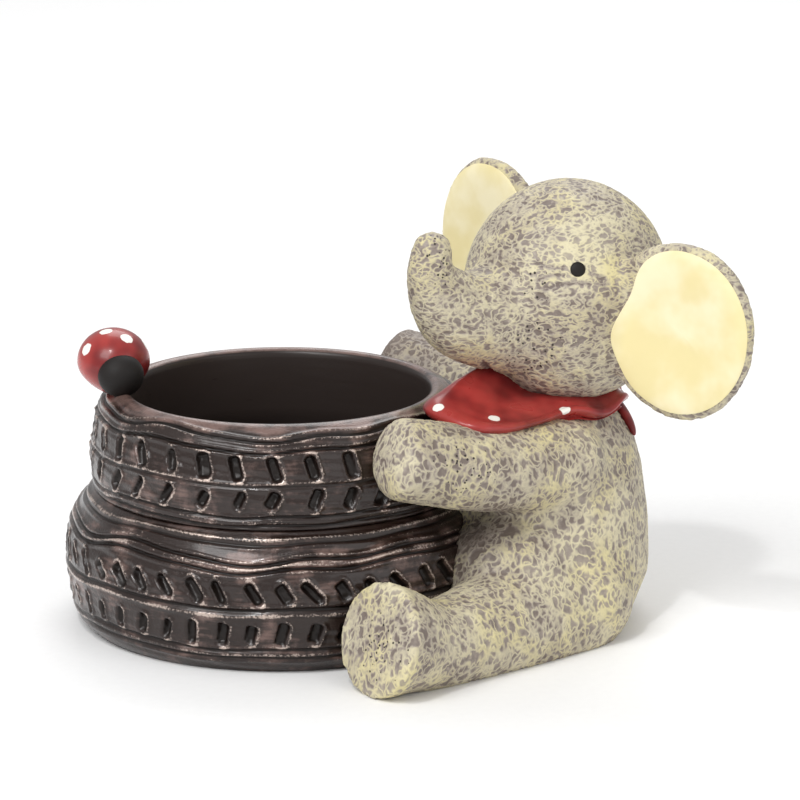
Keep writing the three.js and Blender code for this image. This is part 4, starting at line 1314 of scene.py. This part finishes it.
class FLOWERPOT_OT_neckerchief(bpy.types.Operator):
    """Model the neckerchief, its knot and its two ends"""

    bl_idname = "flowerpot.neckerchief"
    bl_label = "Neckerchief"

    # White dots as an angle from the trunk in degrees and a share of the way to the edge
    dots = (
        (7, 0.94), (25, 0.8), (56, 0.94), (146, 0.82), (188, 0.62), (226, 0.8), (266, 0.66),
        (304, 0.82), (338, 0.7),
    )
    # Turns of the knot and of its ends, in radians
    knot_turn = 0.46
    tail_turn = 0.2
    # Knot's half sizes as shares of its radius, and the depth and width of the crease round it
    knot_shape = (0.85, 1, 0.9)
    knot_crease = 0.12
    knot_crease_width = 0.25
    # An end starts beside the knot's middle, and hangs back and outwards
    tail_start = Vector((0.6, 1.2, 0.8)) * MM
    tail_back = 4.6 * MM
    tail_out = 6.2 * MM
    tail_bulge = 0.5 * MM

    def execute(self, context):
        scarf = context.scene.pot_scarf
        turned = context.scene.pot_head.turned
        spots = [
            Vector(cape_point(scarf, turned, math.radians(angle), share)) for angle, share in self.dots
        ]
        paint = spotted_enamel("red_enamel_cloth", context.scene.pot_colours, spots, scarf.dot_radius)
        cape = self.cape(scarf, turned)
        hand_over(cape, "neckerchief_cape", paint, "scarf_red", "neckerchief")
        hand_over(self.knot(scarf), "neckerchief_tie", paint, "scarf_red", "neckerchief_knot")
        for side, name in SIDE_NAMES.items():
            end = self.tail(scarf, side)
            hand_over(end, f"neckerchief_{name}_end", paint, "scarf_red", f"neckerchief_{name}_tail")
        return {"FINISHED"}

    def cape(self, scarf, turned):
        """A grid rolled into a ring round the neck, given thickness and rounded at its edge."""
        clear_selection()
        bpy.ops.mesh.primitive_grid_add(x_subdivisions=144, y_subdivisions=24, size=1)
        cape = bpy.context.object
        x, y, _ = positions(cape).T
        reshape(cape, cape_point(scarf, turned, (x + 0.5) * math.tau, y + 0.5))
        with editing(cape):
            bpy.ops.mesh.remove_doubles(threshold=MERGE)
            bpy.ops.mesh.normals_make_consistent(inside=False)
        if directions(cape)[:, 2].mean() < 0:
            cape.data.flip_normals()
        apply_modifier(cape, "SOLIDIFY", thickness=scarf.thickness, offset=-1)
        apply_modifier(cape, "SUBSURF", levels=1, render_levels=1)
        return cape

    def knot(self, scarf):
        """Knot: a ball with a soft crease round its middle."""
        knot = ball(segments=48)
        points = positions(knot)
        pinched = 1 - self.knot_crease * np.exp(-(points[:, 1] / self.knot_crease_width) ** 2)
        points *= pinched[:, None] * np.array(self.knot_shape) * scarf.knot_radius
        matrix = Matrix.Translation(scarf.knot) @ Matrix.Rotation(self.knot_turn, 4, "Z")
        reshape(knot, moved(points, matrix))
        return knot

    def tail(self, scarf, side):
        """One end of the cloth: a flat strip that widens to a round end and hangs down the back."""
        strip = ball(segments=48)
        x, y, z = positions(strip).T
        wide = scarf.tail_width / 2 * (0.85 - 0.3 * z)
        hang = (1 - z) / 2
        bulge = self.tail_bulge * np.sin(math.pi * hang)
        shaped = np.stack([
            x * scarf.tail_thickness / 2 + self.tail_back * hang + bulge,
            y * wide + side * self.tail_out * hang,
            -scarf.tail_length * hang,
        ], axis=1)
        start = Matrix.Translation(Vector(scarf.knot) + sided(self.tail_start, side))
        reshape(strip, moved(shaped, start @ Matrix.Rotation(self.tail_turn, 4, "Z")))
        return strip


# Ladybird


class FLOWERPOT_OT_ladybird(bpy.types.Operator):
    """Model the ladybird on the rim"""

    bl_idname = "flowerpot.ladybird"
    bl_label = "Ladybird"

    # White dots as turns from its heading, to its left, and rises, in degrees
    dots = (
        (27, 55), (-73, 30), (-63, 75), (80, 28), (140, 52), (-140, 45), (180, 14), (112, 8), (-112, 6),
    )
    # Head's half sizes as shares of its radius, and how much the shell is drawn in below
    head_shape = Vector((0.9, 1.06, 1))
    drawn_in = 0.3

    def execute(self, context):
        sizes = context.scene.pot_ladybird
        matrix = Matrix.Translation(sizes.middle) @ Matrix.Rotation(sizes.heading, 4, "Z")
        radii = Vector((sizes.half_length, sizes.half_width, sizes.half_height))
        spots = []
        for aside, rise in self.dots:
            aside, rise = math.radians(aside), math.radians(rise)
            spots.append(matrix @ Vector((
                radii.x * math.cos(aside) * math.cos(rise),
                radii.y * math.sin(aside) * math.cos(rise),
                radii.z * math.sin(rise),
            )))
        red = spotted_enamel("red_enamel_shell", context.scene.pot_colours, spots, sizes.dot_radius)
        hand_over(self.shell(matrix, radii), "ladybird_dome", red, "ladybird_red", "ladybird_shell")
        face = matrix @ Vector((sizes.head_lead, 0, -sizes.head_drop))
        head = ball(face, sizes.head_radius * self.head_shape, matrix.to_euler(), segments=48)
        black = bpy.data.materials["black_enamel"]
        hand_over(head, "ladybird_face", black, "paint_black", "ladybird_head")
        return {"FINISHED"}

    def shell(self, matrix, radii):
        """Shell: a dome that is drawn in below, where it sits on the rim."""
        shell = ball(segments=64)
        points = positions(shell)
        below = np.maximum(-points[:, 2], 0)
        points[:, :2] *= (1 - self.drawn_in * below ** 2)[:, None]
        reshape(shell, moved(points * np.array(radii), matrix))
        return shell


# Stage


class FLOWERPOT_OT_stage(bpy.types.Operator):
    """Set up the floor, the soft lights and the camera"""

    bl_idname = "flowerpot.stage"
    bl_label = "Stage"

    # Soft boxes: place and side in metres, and power in watts, all turned to one aim
    lights = {
        "key": ((-0.6, -0.8, 1.0), 0.7, 9.2),
        "spark": ((-0.2, -0.5, 0.9), 0.06, 1.8),
        "fill": ((0.9, -0.8, 0.6), 0.9, 2.6),
        "back": ((0.1, 0.9, 1.0), 0.8, 6),
    }
    aim = Vector((0.02, 0, 0.04))
    # Strength of the white surroundings
    surroundings = 0.52
    # The floor lies just below the pot, so that no face shares its plane
    floor_drop = 0.05 * MM

    def execute(self, context):
        sizes = context.scene.pot_stage
        clear_selection()
        bpy.ops.mesh.primitive_plane_add(size=sizes.floor_size, location=(0, 0, -self.floor_drop))
        floor = settle()
        floor.name = "floor"
        floor.data.materials.append(floor_paper())
        for name, (at, side, power) in self.lights.items():
            self.light(name, at, side, power)
        world = bpy.data.worlds.new("studio")
        world.use_nodes = True
        background = world.node_tree.nodes["Background"]
        background.inputs["Color"].default_value = (1, 1, 1, 1)
        background.inputs["Strength"].default_value = self.surroundings
        context.scene.world = world
        context.scene.view_settings.view_transform = "Standard"
        bpy.ops.object.camera_add(location=sizes.camera, rotation=(sizes.camera_tilt, 0, 0))
        camera = bpy.context.object
        camera.data.lens = sizes.lens
        context.scene.camera = camera
        return {"FINISHED"}

    def light(self, name, at, side, power):
        """A square soft box that looks at the pot."""
        turned = (self.aim - Vector(at)).to_track_quat("-Z", "Y").to_euler()
        bpy.ops.object.light_add(type="AREA", location=at, rotation=turned)
        lamp = bpy.context.object
        lamp.name = name
        lamp.data.size = side
        lamp.data.energy = power


class FLOWERPOT_PT_pieces(bpy.types.Panel):
    """Sizes, colours and pieces of the flower pot"""

    bl_label = "Flower pot"
    bl_space_type = "VIEW_3D"
    bl_region_type = "UI"
    bl_category = "Flower pot"

    def draw(self, context):
        for operator in OPERATORS:
            self.layout.operator(operator.bl_idname)
        for pointer, group in GROUPS.items():
            box = self.layout.box()
            for name in group.__annotations__:
                box.prop(getattr(context.scene, pointer), name)


GROUPS = {
    "pot_tyres": TyreSizes,
    "pot_calf": CalfSizes,
    "pot_head": HeadSizes,
    "pot_scarf": ScarfSizes,
    "pot_ladybird": LadybirdSizes,
    "pot_colours": PaintColours,
    "pot_stage": StageSizes,
}
OPERATORS = (
    FLOWERPOT_OT_stage,
    FLOWERPOT_OT_tyres,
    FLOWERPOT_OT_calf_body,
    FLOWERPOT_OT_calf_head,
    FLOWERPOT_OT_ear_linings,
    FLOWERPOT_OT_eyes,
    FLOWERPOT_OT_neckerchief,
    FLOWERPOT_OT_ladybird,
)
CLASSES = (*GROUPS.values(), *OPERATORS, FLOWERPOT_PT_pieces)


def register():
    """Registers the classes and hangs the sizes and colours on the scene."""
    for cls in CLASSES:
        bpy.utils.register_class(cls)
    for name, group in GROUPS.items():
        setattr(bpy.types.Scene, name, PointerProperty(type=group))


def unregister():
    """Takes the sizes, colours and classes away again."""
    for name in GROUPS:
        delattr(bpy.types.Scene, name)
    for cls in reversed(CLASSES):
        bpy.utils.unregister_class(cls)


def main():
    """Builds every piece in order."""
    register()
    bpy.ops.flowerpot.stage()
    bpy.ops.flowerpot.tyres()
    bpy.ops.flowerpot.calf_body()
    bpy.ops.flowerpot.calf_head()
    bpy.ops.flowerpot.ear_linings()
    bpy.ops.flowerpot.eyes()
    bpy.ops.flowerpot.neckerchief()
    bpy.ops.flowerpot.ladybird()


if __name__ == "__main__":
    main()
